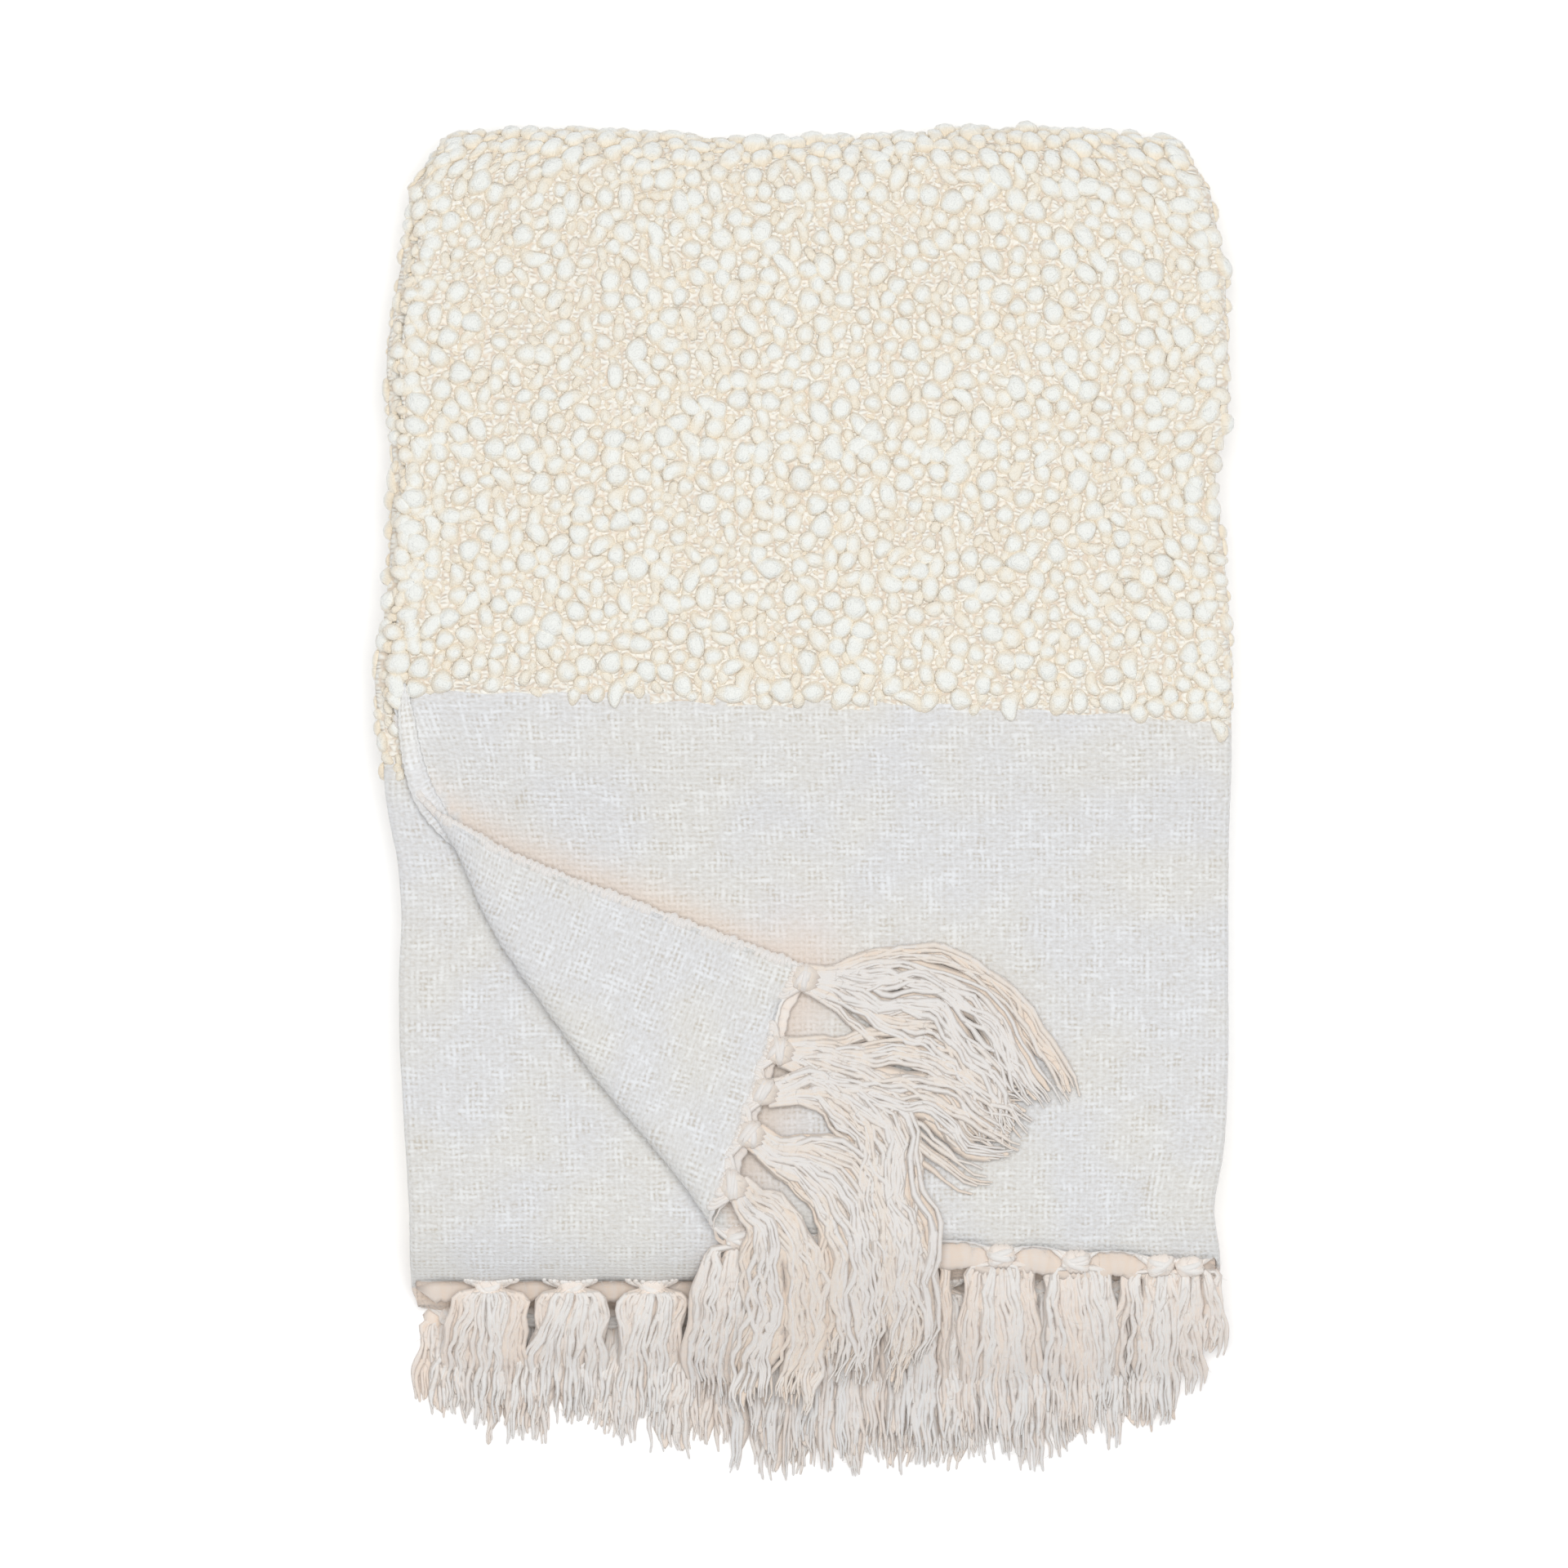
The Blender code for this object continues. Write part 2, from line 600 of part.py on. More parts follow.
def lock_pitch(locks, share):
    """Distance between neighbouring locks: close at the knot, then the full pitch."""
    close = KNOT_WIDTH / locks
    return close + (LOCK_PITCH - close) * smooth_step(share * 3.0)


def hanging_path(layer, locks, tip_x, tip_y, jitter):
    """Paths of the locks that hang over the foot, fan out and come to rest level on the floor."""
    def path(start, outward, across, place):
        points = []
        tip = tip_y + jitter.uniform(-0.006, 0.004)
        for step in range(LOCK_STEPS + 1):
            y = start.y + (tip - start.y) * ((step + 0.35) / (LOCK_STEPS + 0.35)) ** 1.25
            share = (start.y - y) / (start.y - tip_y)
            pitch = lock_pitch(locks, share)
            x = start.x + (tip_x - start.x) * smooth_step(share * 1.15) + across.x * place * pitch
            points.append((Vector((x, y, resting_height(layer, y))), pitch))
        return points
    return path


def lying_path(route):
    """Paths of the locks of a corner tassel, which lie side by side along a route on the top panel."""
    def path(start, outward, across, place):
        shown = [start - outward * 0.02, start, *[Vector((x, y, 0)) for x, y in route]]
        shown.append(shown[-1] * 2 - shown[-2])
        flat = smooth_curve([(p.x, p.y) for p in shown], 0.002)
        points = []
        for share in np.linspace(0.08, 1.0, LYING_STEPS + 1):
            index = int(share * (len(flat) - 1))
            ahead = flat[min(index + 1, len(flat) - 1)] - flat[max(index - 1, 0)]
            side = np.array((ahead[1], -ahead[0])) / np.linalg.norm(ahead)
            pitch = lock_pitch(CORNER_LOCKS, share)
            x, y = flat[index] + side * (place * pitch)
            points.append((Vector((x, y, top_height(x, y))), pitch))
        return points
    return path


def tucked_path(jitter):
    """Paths of the locks of a far tassel, straight and level inside the stack."""
    def path(start, outward, across, place):
        length = FAR_LENGTH + jitter.uniform(-0.006, 0.006)
        points = []
        for step in range(FAR_STEPS + 1):
            share = (step + 0.5) / (FAR_STEPS + 0.5)
            x = start.x + across.x * place * LOCK_PITCH
            points.append((Vector((x, start.y + length * share, start.z - LOCK_HEIGHT / 2)), LOCK_PITCH))
        return points
    return path


def make_near_tassels(material, jitter):
    """All tassels of the near hem: those of the turned corner, then those that hang."""
    plans = [(u, CORNER_LOCKS, lying_path(route)) for u, route in CORNER_TASSELS]
    for layer, knot_x, tip_x, tip_y, locks in HANGING_TASSELS:
        u = place_across(layer, knot_x, -LAYER_LAG * layer)
        plans.append((u, locks, hanging_path(layer, locks, tip_x, tip_y, jitter)))
    return [make_tassel(f"tassel_near_{number:02d}", material, u, "near", locks, path)
            for number, (u, locks, path) in enumerate(plans, 1)]


def make_far_tassels(material, jitter):
    """All tassels of the far hem. Neighbours in the stack hang from different layers."""
    made = []
    for number, x in enumerate(np.linspace(-FAR_HALF_SPREAD, FAR_HALF_SPREAD, FAR_TASSELS)):
        u = place_across(number % 3, x, FAR_HEM)
        name = f"tassel_far_{number + 1:02d}"
        made.append(make_tassel(name, material, u, "far", FAR_LOCKS, tucked_path(jitter)))
    return made


def cloth_material(name, colour):
    """A matt woven finish."""
    material = bpy.data.materials.new(name)
    material.use_nodes = True
    shader = material.node_tree.nodes["Principled BSDF"]
    shader.inputs["Base Color"].default_value = colour
    shader.inputs["Roughness"].default_value = CLOTH_ROUGHNESS
    shader.inputs["Metallic"].default_value = 0.0
    return material


def stand_on_origin(objects):
    """Move all the meshes so that the middle of the whole throw's underside is the origin."""
    corners = np.array([vert.co for made in objects for vert in made.data.vertices])
    low, high = corners.min(axis=0), corners.max(axis=0)
    shift = Matrix.Translation((-(low[0] + high[0]) / 2, -(low[1] + high[1]) / 2, -low[2]))
    for made in objects:
        made.data.transform(shift)


def main():
    """Clear the scene and build the cloth and its tassels."""
    for old in list(bpy.data.objects):
        bpy.data.objects.remove(old, do_unlink=True)
    jitter = random.Random(7)
    boucle = cloth_material("boucle_cloth", BOUCLE_CREAM)
    fringe = cloth_material("fringe_yarn", FRINGE_CREAM)
    objects = [make_cloth(boucle)]
    objects += make_near_tassels(fringe, jitter)
    objects += make_far_tassels(fringe, jitter)
    stand_on_origin(objects)


main()
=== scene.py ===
"""Looks of the folded boucle throw: its woven ground, curled loops, knotted fringe and soft fuzz."""
import enum
import logging
import math
import random
from collections.abc import Iterator
from dataclasses import dataclass, field

import bpy
import numpy as np
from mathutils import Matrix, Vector


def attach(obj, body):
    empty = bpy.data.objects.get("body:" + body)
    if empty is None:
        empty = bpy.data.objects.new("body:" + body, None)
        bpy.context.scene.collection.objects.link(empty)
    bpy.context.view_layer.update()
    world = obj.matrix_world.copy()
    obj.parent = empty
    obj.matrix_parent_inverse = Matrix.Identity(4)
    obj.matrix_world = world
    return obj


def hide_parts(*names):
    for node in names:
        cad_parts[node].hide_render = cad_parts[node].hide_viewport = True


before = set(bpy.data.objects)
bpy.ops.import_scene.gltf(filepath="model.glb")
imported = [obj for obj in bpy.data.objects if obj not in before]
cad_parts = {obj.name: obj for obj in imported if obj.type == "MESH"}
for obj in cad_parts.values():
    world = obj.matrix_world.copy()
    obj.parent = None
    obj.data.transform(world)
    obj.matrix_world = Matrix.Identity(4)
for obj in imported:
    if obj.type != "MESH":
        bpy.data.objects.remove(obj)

LOG = logging.getLogger("boucle_throw")
MILLIMETRE = 0.001
FLOOR_GAP = 0.0001
FULL_TURN = 6.3  # about 2 pi, for the phases of waves
WHITE = (1.0, 1.0, 1.0, 1.0)
Array = np.ndarray


class Layer(enum.IntEnum):
    """The three layers of the folded stack, from the upper one down."""

    UPPER = 0
    MIDDLE = 1
    LOWER = 2


class Face(enum.IntEnum):
    """The two faces of the cloth."""

    RIGHT = 1
    WRONG = -1


class LoopKind(enum.Enum):
    """How a boucle loop sits: standing as an arch, or lying on its side as a bean or a curl."""

    ARCH = "arch"
    BEAN = "bean"
    CURL = "curl"


class Girth(enum.Enum):
    """Sizes of loops, which are scattered one after the other."""

    BIG = "big"
    SMALL = "small"
    SEED = "seed"


def linear(*screen: int) -> tuple:
    """Linear colour, with full alpha, of the red, green and blue of an 8-bit screen colour."""
    parts = [value / 255 for value in screen]
    return (*(part / 12.92 if part <= 0.04045 else ((part + 0.055) / 1.055) ** 2.4 for part in parts), 1.0)


def ease(value: Array) -> Array:
    """Ease from 0 to 1 as the value goes from 0 to 1."""
    value = np.clip(value, 0.0, 1.0)
    return value * value * (3.0 - 2.0 * value)


def unit(vectors: Array) -> Array:
    """Vectors of length 1 in the same directions."""
    return vectors / np.maximum(np.linalg.norm(vectors, axis=-1, keepdims=True), 1e-9)


def run_length(path: Array) -> Array:
    """Distance along a path at each of its points."""
    return np.concatenate(([0.0], np.cumsum(np.linalg.norm(np.diff(path, axis=0), axis=1))))


def smooth_curve(points: list, step: float) -> Array:
    """A smooth curve through all but the first and last of the points.

    Args:
        points: Points in two or three dimensions.
        step: Distance between the curve's points.

    Returns:
        The curve's points, one in a row.
    """
    knots = np.array(points, dtype=float)
    curve = []
    for a, b, c, d in zip(knots, knots[1:], knots[2:], knots[3:]):
        count = max(2, int(np.linalg.norm(c - b) / step))
        for t in np.arange(count) / count:
            curve.append(0.5 * (2 * b + (c - a) * t + (2 * a - 5 * b + 4 * c - d) * t ** 2
                                + (3 * b - a - 3 * c + d) * t ** 3))
    return np.array([*curve, knots[-2]])


@dataclass
class StackPath:
    """The outer side of the folded stack as one path, over its top, round both folds and inside."""

    top_fold: tuple = (0.5445, 0.0265)  # (y, radius)
    foot_fold: tuple = (0.016, 0.023)
    step: float = 0.001
    top_profile: tuple = (  # (y, height)
        (-0.074, 0.0100), (-0.058, 0.0105), (-0.042, 0.0125), (-0.030, 0.0205), (-0.021, 0.0325),
        (-0.012, 0.0445), (0.000, 0.0532), (0.018, 0.0570), (0.045, 0.0565), (0.075, 0.0530),
        (0.105, 0.0500), (0.150, 0.0485), (0.210, 0.0505), (0.255, 0.0572), (0.300, 0.0605),
        (0.360, 0.0600), (0.430, 0.0580), (0.500, 0.0545), (0.5445, 0.0530), (0.5845, 0.0530))
    inner_profile: tuple = (  # (y, height)
        (-0.004, 0.0460), (0.016, 0.0460), (0.045, 0.0455), (0.072, 0.0408), (0.100, 0.0362),
        (0.150, 0.0346), (0.250, 0.0345), (0.400, 0.0345), (0.440, 0.0345))

    def __post_init__(self) -> None:
        """Lay the path out as points with their distance from the near hem line."""
        top = smooth_curve(self.top_profile, self.step)
        top_turn = self.half_turn(*self.top_fold, math.pi / 2)
        back, front = self.top_fold[0], self.foot_fold[0]
        count = int((back - front) / self.step) + 1
        floor = np.column_stack((np.linspace(back, front, count), np.zeros(count)))
        foot_turn = self.half_turn(*self.foot_fold, -math.pi / 2)
        inner = smooth_curve(self.inner_profile, self.step)
        self.points = np.vstack((top, top_turn, floor, foot_turn, inner))
        self.distance = run_length(self.points)
        self.distance -= np.interp(0.0, top[:, 0], self.distance[:len(top)])
        self.tangents = np.gradient(self.points, self.distance, axis=0)
        self.top_count = len(top)
        self.top_end = self.distance[len(top) - 1]
        self.floor_start = self.distance[len(top) + len(top_turn)]

    def half_turn(self, y: float, radius: float, start: float) -> Array:
        """Points of a half circle that stands on the floor line, from its start angle."""
        count = int(math.pi * radius / self.step)
        angles = start - math.pi * np.arange(1, count) / count
        return np.column_stack((y + radius * np.cos(angles), radius + radius * np.sin(angles)))

    def frames(self, s: Array) -> tuple[Array, Array, Array]:
        """Places, outward normals and tangents of the path at distances from the near hem line."""
        y, z = (np.interp(s, self.distance, self.points[:, axis]) for axis in (0, 1))
        ty, tz = (np.interp(s, self.distance, self.tangents[:, axis]) for axis in (0, 1))
        size, zero = np.hypot(ty, tz), np.zeros_like(y)
        return (np.stack((zero, y, z), -1), np.stack((zero, -tz / size, ty / size), -1),
                np.stack((zero, ty / size, tz / size), -1))

    def top_at(self, y: Array) -> Array:
        """Distance along the path of places on the top panel."""
        return np.interp(y, self.points[:self.top_count, 0], self.distance[:self.top_count])


@dataclass
class FoldMap:
    """Folds the flat cloth into its stack: across in thirds, and along over the path."""

    width: float = 1.270
    length: float = 1.520
    plain_border: float = 0.275
    first_fold: float = 0.4185
    second_fold: float = 0.8455
    fold_band: float = 0.010
    boucle_thickness: float = 0.0068
    plain_thickness: float = 0.0026
    layer_gap: float = 0.0008
    half_width: float = 0.2135
    selvedge_setback: float = 0.009
    side_lines: tuple = (  # (y, left, right)
        (-0.050, 0.009, 0.003), (0.020, 0.009, 0.002), (0.100, 0.004, -0.001), (0.200, 0.001, -0.001),
        (0.240, -0.005, -0.002), (0.285, -0.006, -0.004), (0.350, -0.003, -0.001), (0.430, 0.000, -0.003),
        (0.500, 0.003, -0.001), (0.545, 0.008, 0.007))
    side_waves: tuple = (  # (side, y of the middle, width, shift)
        (1.0, 0.392, 0.028, -0.0065), (1.0, 0.022, 0.022, -0.0045), (-1.0, 0.455, 0.035, -0.0055),
        (-1.0, 0.290, 0.032, -0.0045), (-1.0, 0.175, 0.030, 0.0028))
    top_fold_inset: float = 0.012
    floor_inset: float = 0.009
    hem_ends: tuple = (0.012, -0.006)  # how far the near hem draws in at the left and at the right
    crease_start: tuple = (0.004, 0.229)
    crease_end: tuple = (0.150, 0.016)
    roll_radius: float = 0.007
    flap_settle: float = 0.005
    flap_settle_length: float = 0.070
    crease_bow: float = 0.0075
    apex_inset: float = 0.009
    panel_wave: float = 0.0012
    top_fold_wave: tuple = (0.003, 0.231, -0.130)  # (height, length, x of a crest)
    stand_shift: tuple = (0.0, -0.22994, 0.0)
    probe: float = 0.0007
    path: StackPath = field(default_factory=StackPath)

    def __post_init__(self) -> None:
        """Work out the spans of the layers and how inner layers reach further round the folds."""
        half = self.fold_band / 2
        self.lag = math.pi * (self.boucle_thickness + self.layer_gap)
        self.spans = ((0.0, self.first_fold - half),
                      (self.first_fold + half, self.second_fold - half),
                      (self.second_fold + half, self.width))
        self.far_line = self.length + math.pi * self.boucle_thickness
        self.far_border = self.far_line - self.plain_border
        start = np.array(self.crease_start)
        along = np.array(self.crease_end) - start
        self.crease_length = float(np.linalg.norm(along))
        self.along = along / self.crease_length
        self.outward = np.array((self.along[1], -self.along[0]))
        self.roll_start = start - self.outward * self.roll_radius

    def layer_at(self, u: Array) -> Array:
        """Layer number of places across the flat cloth, and between whole numbers in the folds."""
        return sum(np.clip((u - self.spans[fold][1]) / self.fold_band, 0.0, 1.0) for fold in (0, 1))

    def near_hem(self, u: Array) -> Array:
        """Distance along the path of the near hem."""
        end, (left, right) = self.crease_end[0], self.hem_ends
        skew = left + (right - left) * np.clip((u - end) / (self.spans[0][1] - end), 0.0, 1.0)
        layer = self.layer_at(u)
        return skew * np.maximum(0.0, 1.0 - layer) + right * np.minimum(layer, 1.0) - self.lag * layer

    def far_hem(self, u: Array) -> Array:
        """Distance along the path of the far hem."""
        return self.far_line + self.lag * self.layer_at(u)

    def pile_share(self, layer: Array, s: Array) -> Array:
        """1 in the boucle field and 0 in the two plain borders."""
        near = (s - self.plain_border + self.lag * layer) / self.lag + 0.5
        far = (self.far_border + self.lag * layer - s) / self.lag + 0.5
        return np.clip(np.minimum(near, far), 0.0, 1.0)

    def thickness(self, layer: float, s: Array) -> Array:
        """Thickness of the cloth with its pile."""
        return (self.plain_thickness
                + (self.boucle_thickness - self.plain_thickness) * self.pile_share(np.float64(layer), s))

    def side_insets(self, s: Array) -> tuple[Array, Array]:
        """How far the left and right sides stand inside the half width."""
        table = np.array(self.side_lines)
        y = np.interp(s, self.path.distance, self.path.points[:, 0])
        turned = np.clip((s - self.path.top_end) / (self.path.floor_start - self.path.top_end), 0.0, 1.0)
        bulge = np.sin(np.pi * turned) * self.top_fold_inset
        left, right = (np.interp(y, table[:, 0], table[:, side]) for side in (1, 2))
        return (left + (self.floor_inset - left) * turned + bulge,
                right + (self.floor_inset - right) * turned + bulge)

    def section(self, u: Array, s: Array) -> tuple[Array, ...]:
        """Across the stack: x, depth under the outer side, and the two parts of the face's direction."""
        inset_left, inset_right = self.side_insets(s)
        t0, t1, t2 = (self.thickness(layer, s) for layer in range(3))
        depths = (t0 / 2, t0 + self.layer_gap + t1 / 2, t0 + t1 + 2 * self.layer_gap + t2 / 2)
        right_radius, left_radius = (depths[1] - depths[0]) / 2, (depths[2] - depths[1]) / 2
        right_x = self.half_width - inset_right - right_radius - self.thickness(0.5, s) / 2
        left_x = -self.half_width + inset_left + left_radius + self.thickness(1.5, s) / 2
        selvedge_x = -self.half_width + inset_left + self.selvedge_setback
        low_selvedge_x = self.half_width - inset_right - self.selvedge_setback
        (_, a1), (b0, b1), (c0, c1) = self.spans
        first, second = (np.pi * np.clip((u - edge) / self.fold_band, 0.0, 1.0) for edge in (a1, b1))
        zero, one = np.zeros_like(u), np.ones_like(u)
        within = [u < a1, u < b0, u < b1, u < c0]
        x = np.select(within, [selvedge_x + (right_x - selvedge_x) * u / a1,
                               right_x + right_radius * np.sin(first),
                               right_x + (left_x - right_x) * (u - b0) / (b1 - b0),
                               left_x - left_radius * np.sin(second)],
                      left_x + (low_selvedge_x - left_x) * (u - c0) / (c1 - c0))
        depth = np.select(within, [depths[0], (depths[0] + depths[1]) / 2 - right_radius * np.cos(first),
                                   depths[1], (depths[1] + depths[2]) / 2 - left_radius * np.cos(second)],
                          depths[2])
        face_x = np.select(within, [zero, np.sin(first), zero, np.sin(second)], zero)
        face_n = np.select(within, [one, np.cos(first), -one, -np.cos(second)], one)
        return x, depth, face_x, face_n

    def wave(self, x: Array, y: Array, s: Array) -> Array:
        """Soft waves in the top panel, along its sides and along the top fold."""
        fade = ease((y - 0.04) / 0.06) * ease((self.path.top_fold[0] - y) / 0.08) * (s < self.path.top_end)
        rise = (self.panel_wave * fade * np.sin(33.0 * x + 11.0 * y + 0.7)
                * np.sin(24.0 * y - 16.0 * x + 1.9))
        height, length, crest = self.top_fold_wave
        fold = height * np.cos(2 * np.pi * (x - crest) / length) * ease((y - 0.470) / 0.080)
        sway = np.zeros_like(x)
        for side, middle, width, shift in self.side_waves:
            sway = sway + shift * np.exp(-((y - middle) / width) ** 2) * ease((side * x - 0.13) / 0.07)
        return np.stack((sway, fold, rise), -1)

    def beyond_crease(self, u: Array, s: Array) -> Array:
        """How far places on the flat cloth lie beyond the turned corner's crease."""
        return (u - self.roll_start[0]) * self.outward[0] + (s - self.roll_start[1]) * self.outward[1]

    def place(self, u: Array, s: Array, off: Array = 0.0) -> Array:
        """Fold points of the cloth into place.

        Args:
            u: Places across the flat cloth.
            s: Distances along the path.
            off: Distance in front of the middle of the cloth on its right side, or behind it if negative.

        Returns:
            The points, in the part's frame.
        """
        u, s, off = np.broadcast_arrays(*(np.asarray(value, float) for value in (u, s, off)))
        reach = self.beyond_crease(u, s)
        turned = (u <= self.spans[0][1]) & (s <= self.plain_border) & (reach > 0.0)
        reach = np.where(turned, reach, 0.0)
        angle = np.minimum(reach / self.roll_radius, np.pi)
        beyond = np.maximum(0.0, reach - np.pi * self.roll_radius)
        shift = self.roll_radius * np.sin(angle) - beyond - reach
        mu, ms = u + self.outward[0] * shift, s + self.outward[1] * shift
        rise = (self.roll_radius * (1.0 - np.cos(angle))
                - self.flap_settle * ease(beyond / self.flap_settle_length))
        share = ((mu - self.roll_start[0]) * self.along[0]
                 + (ms - self.roll_start[1]) * self.along[1]) / self.crease_length
        bow = self.crease_bow * ease(share / 0.22) * (1.0 - 0.8 * ease((share - 0.62) / 0.34))
        bow = bow * ease(angle / (0.6 * np.pi)) * turned
        apex = self.apex_inset * ease((0.292 - ms) / 0.050) * ease((ms - 0.150) / 0.050)
        apex = apex * np.exp(-(np.maximum(mu, 0.0) / 0.045) ** 2) * (u <= self.spans[0][1])
        x, depth, face_x, face_n = self.section(np.maximum(mu, 0.0), ms)
        origin, normal, tangent = self.path.frames(ms)
        x = x + np.minimum(mu, 0.0)
        centre = origin + normal * (rise - depth)[..., None]
        centre[..., 0] += x
        centre += self.wave(x, origin[..., 1], ms)
        centre[..., 0] += bow * self.outward[0] + apex
        centre += tangent * (bow * self.outward[1])[..., None]
        direction = normal * face_n[..., None]
        direction[..., 0] += face_x
        slant = tangent * self.outward[1]
        slant[..., 0] += self.outward[0]
        rolled = normal * np.cos(angle)[..., None] - slant * np.sin(angle)[..., None]
        direction = np.where(turned[..., None], rolled, direction)
        return centre + direction * off[..., None] + np.array(self.stand_shift)

    def frame_at(self, u: Array, s: Array, off: Array) -> tuple[Array, ...]:
        """Places on the cloth with the directions across it, along it and out of its right side."""
        step = self.probe
        return (self.place(u, s, off), unit(self.place(u + step, s, off) - self.place(u - step, s, off)),
                unit(self.place(u, s + step, off) - self.place(u, s - step, off)),
                unit(self.place(u, s, off + step) - self.place(u, s, off - step)))

    def across_at(self, layer: Layer, x: float, s: float) -> float:
        """Place across the flat cloth of the point of a layer that lies at x, at a distance s."""
        start, end = self.spans[layer]
        xs = self.section(np.array([start, end - 1e-6]), np.full(2, s))[0]
        return start + (end - start) * (x - xs[0]) / (xs[1] - xs[0])


FOLD = FoldMap()
SHIFT = np.array(FOLD.stand_shift)


@dataclass(frozen=True)
class HangingTassel:
    """A tassel that hangs over the foot: its layer, the x of its knot, and the x and y of its tip."""

    layer: Layer
    knot_x: float
    tip_x: float
    tip_y: float
    yarns: int

    @property
    def u(self) -> float:
        """Place of the knot across the flat cloth."""
        return FOLD.across_at(self.layer, self.knot_x, -FOLD.lag * self.layer)


@dataclass(frozen=True)
class TurnedTassel:
    """A tassel of the turned corner: its place from the selvedge and the route of its yarns."""

    u: float
    route: tuple
    spread: float
    yarns: int


HANGING = tuple(HangingTassel(Layer(layer), *row) for layer, *row in (
    # (layer, x of the knot, x of the tip, y of the tip, yarns)
    (0, -0.0360, -0.0440, -0.078, 31), (0, 0.0085, 0.0055, -0.108, 37), (0, 0.0525, 0.0515, -0.106, 37),
    (0, 0.0980, 0.0990, -0.098, 40), (0, 0.1365, 0.1395, -0.088, 40), (0, 0.1800, 0.1820, -0.082, 40),
    (0, 0.1950, 0.1945, -0.056, 25), (1, -0.1640, -0.1660, -0.088, 37), (1, -0.1220, -0.1290, -0.086, 40),
    (1, -0.0805, -0.0850, -0.096, 40), (1, -0.0230, -0.0270, -0.106, 40), (1, 0.0225, 0.0220, -0.108, 37),
    (1, 0.0670, 0.0670, -0.106, 37), (1, 0.1170, 0.1180, -0.104, 37), (1, 0.1545, 0.1560, -0.092, 37),
    (2, -0.1830, -0.1840, -0.082, 34), (2, -0.1430, -0.1470, -0.092, 34), (2, -0.1015, -0.1070, -0.088, 34),
    (2, -0.0600, -0.0660, -0.104, 34), (2, -0.0070, -0.0110, -0.112, 34), (2, 0.0375, 0.0368, -0.104, 34),
    (2, 0.0825, 0.0830, -0.106, 34), (2, 0.1665, 0.1687, -0.086, 31)))

TURNED = (
    TurnedTassel(0.005, ((0.030, 0.132), (0.068, 0.126), (0.098, 0.094), (0.111, 0.068)), 0.025, 55),
    TurnedTassel(0.047, ((0.006, 0.096), (0.032, 0.086), (0.060, 0.083), (0.088, 0.064), (0.106, 0.058)),
                 0.022, 50),
    TurnedTassel(0.071, ((0.004, 0.084), (0.026, 0.072), (0.038, 0.056), (0.039, 0.028), (0.045, 0.000),
                         (0.043, -0.027), (0.041, -0.052)), 0.019, 50),
    TurnedTassel(0.095, ((-0.018, 0.050), (0.003, 0.044), (0.022, 0.030), (0.030, 0.008), (0.032, -0.018),
                         (0.034, -0.042), (0.030, -0.068)), 0.022, 50),
    TurnedTassel(0.122, ((-0.030, 0.024), (-0.018, 0.012), (-0.012, -0.012), (-0.011, -0.040),
                         (-0.016, -0.066), (-0.018, -0.082)), 0.019, 50))
KNOTS = np.array(sorted(tassel.u for tassel in HANGING + TURNED))


def near_hem(u: Array) -> Array:
    """Distance along the path of the near hem, which draws back between its knots."""
    gap = np.min(np.abs(np.asarray(u, float)[..., None] - KNOTS), axis=-1)
    return FOLD.near_hem(u) + (-0.0010 + 0.0026 * ease(gap / 0.020))


def border_shift(u: Array) -> Array:
    """How far the edge of the boucle field runs askew on the upper layer."""
    share = np.clip(np.asarray(u, float) / FOLD.spans[0][1], 0.0, 1.0)
    return (-0.011 + 0.014 * share) * (1.0 - np.clip(FOLD.layer_at(u) * 2.0, 0.0, 1.0))


def make_object(name: str, verts: Array, faces: list, coords: Array, tone: Array, shade: Array,
                *materials: bpy.types.Material) -> bpy.types.Object:
    """Make one smooth object.

    Args:
        name: Its name.
        verts: Its points.
        faces: Its faces, as lists of point numbers.
        coords: The cloth's or the yarn's own two coordinates at each point.
        tone: First value at each point, which its finish reads.
        shade: Second value at each point.
        materials: Its finishes.

    Returns:
        The object.
    """
    mesh = bpy.data.meshes.new(name)
    mesh.from_pydata(verts.tolist(), [], faces)
    mesh.validate()
    corners = np.empty(len(mesh.loops), dtype=np.int32)
    mesh.loops.foreach_get("vertex_index", corners)
    mesh.uv_layers.new(name="cloth").data.foreach_set("uv", coords[corners].astype(np.float32).ravel())
    for label, values in (("tone", tone), ("shade", shade)):
        mesh.attributes.new(label, "FLOAT", "POINT").data.foreach_set("value", values.astype(np.float32))
    mesh.polygons.foreach_set("use_smooth", np.ones(len(mesh.polygons), dtype=bool))
    mesh.update()
    for material in materials:
        mesh.materials.append(material)
    made = bpy.data.objects.new(name, mesh)
    bpy.context.scene.collection.objects.link(made)
    return made


def tube_faces(rings: int, sides: int) -> list[Array]:
    """Faces of a closed tube: its sides, then fans to a point at each end."""
    ring, side = np.arange(rings - 1)[:, None] * sides, np.arange(sides)
    after = (side + 1) % sides
    quads = np.stack((ring + side, ring + after, ring + sides + after, ring + sides + side), -1)
    base, end = (rings - 1) * sides, np.full(sides, rings * sides)
    caps = (np.stack((after, side, end), -1), np.stack((base + side, base + after, end + 1), -1))
    return [quads.reshape(-1, 4), np.concatenate(caps)]


def tube_rings(path: Array, radii: Array, turn: Array, flatness: float) -> tuple[Array, Array]:
    """Points of a tube's rings at turns round its path, and the directions ahead along the path."""
    ahead = unit(np.gradient(path, axis=0))
    side = unit(np.cross(ahead, np.array((0.02, 0.03, 1.0))))
    up = np.cross(side, ahead) * flatness
    ring = side[:, None, :] * np.cos(turn)[None, :, None] + up[:, None, :] * np.sin(turn)[None, :, None]
    return (path[:, None, :] + ring * radii[:, None, None]).reshape(-1, 3), ahead


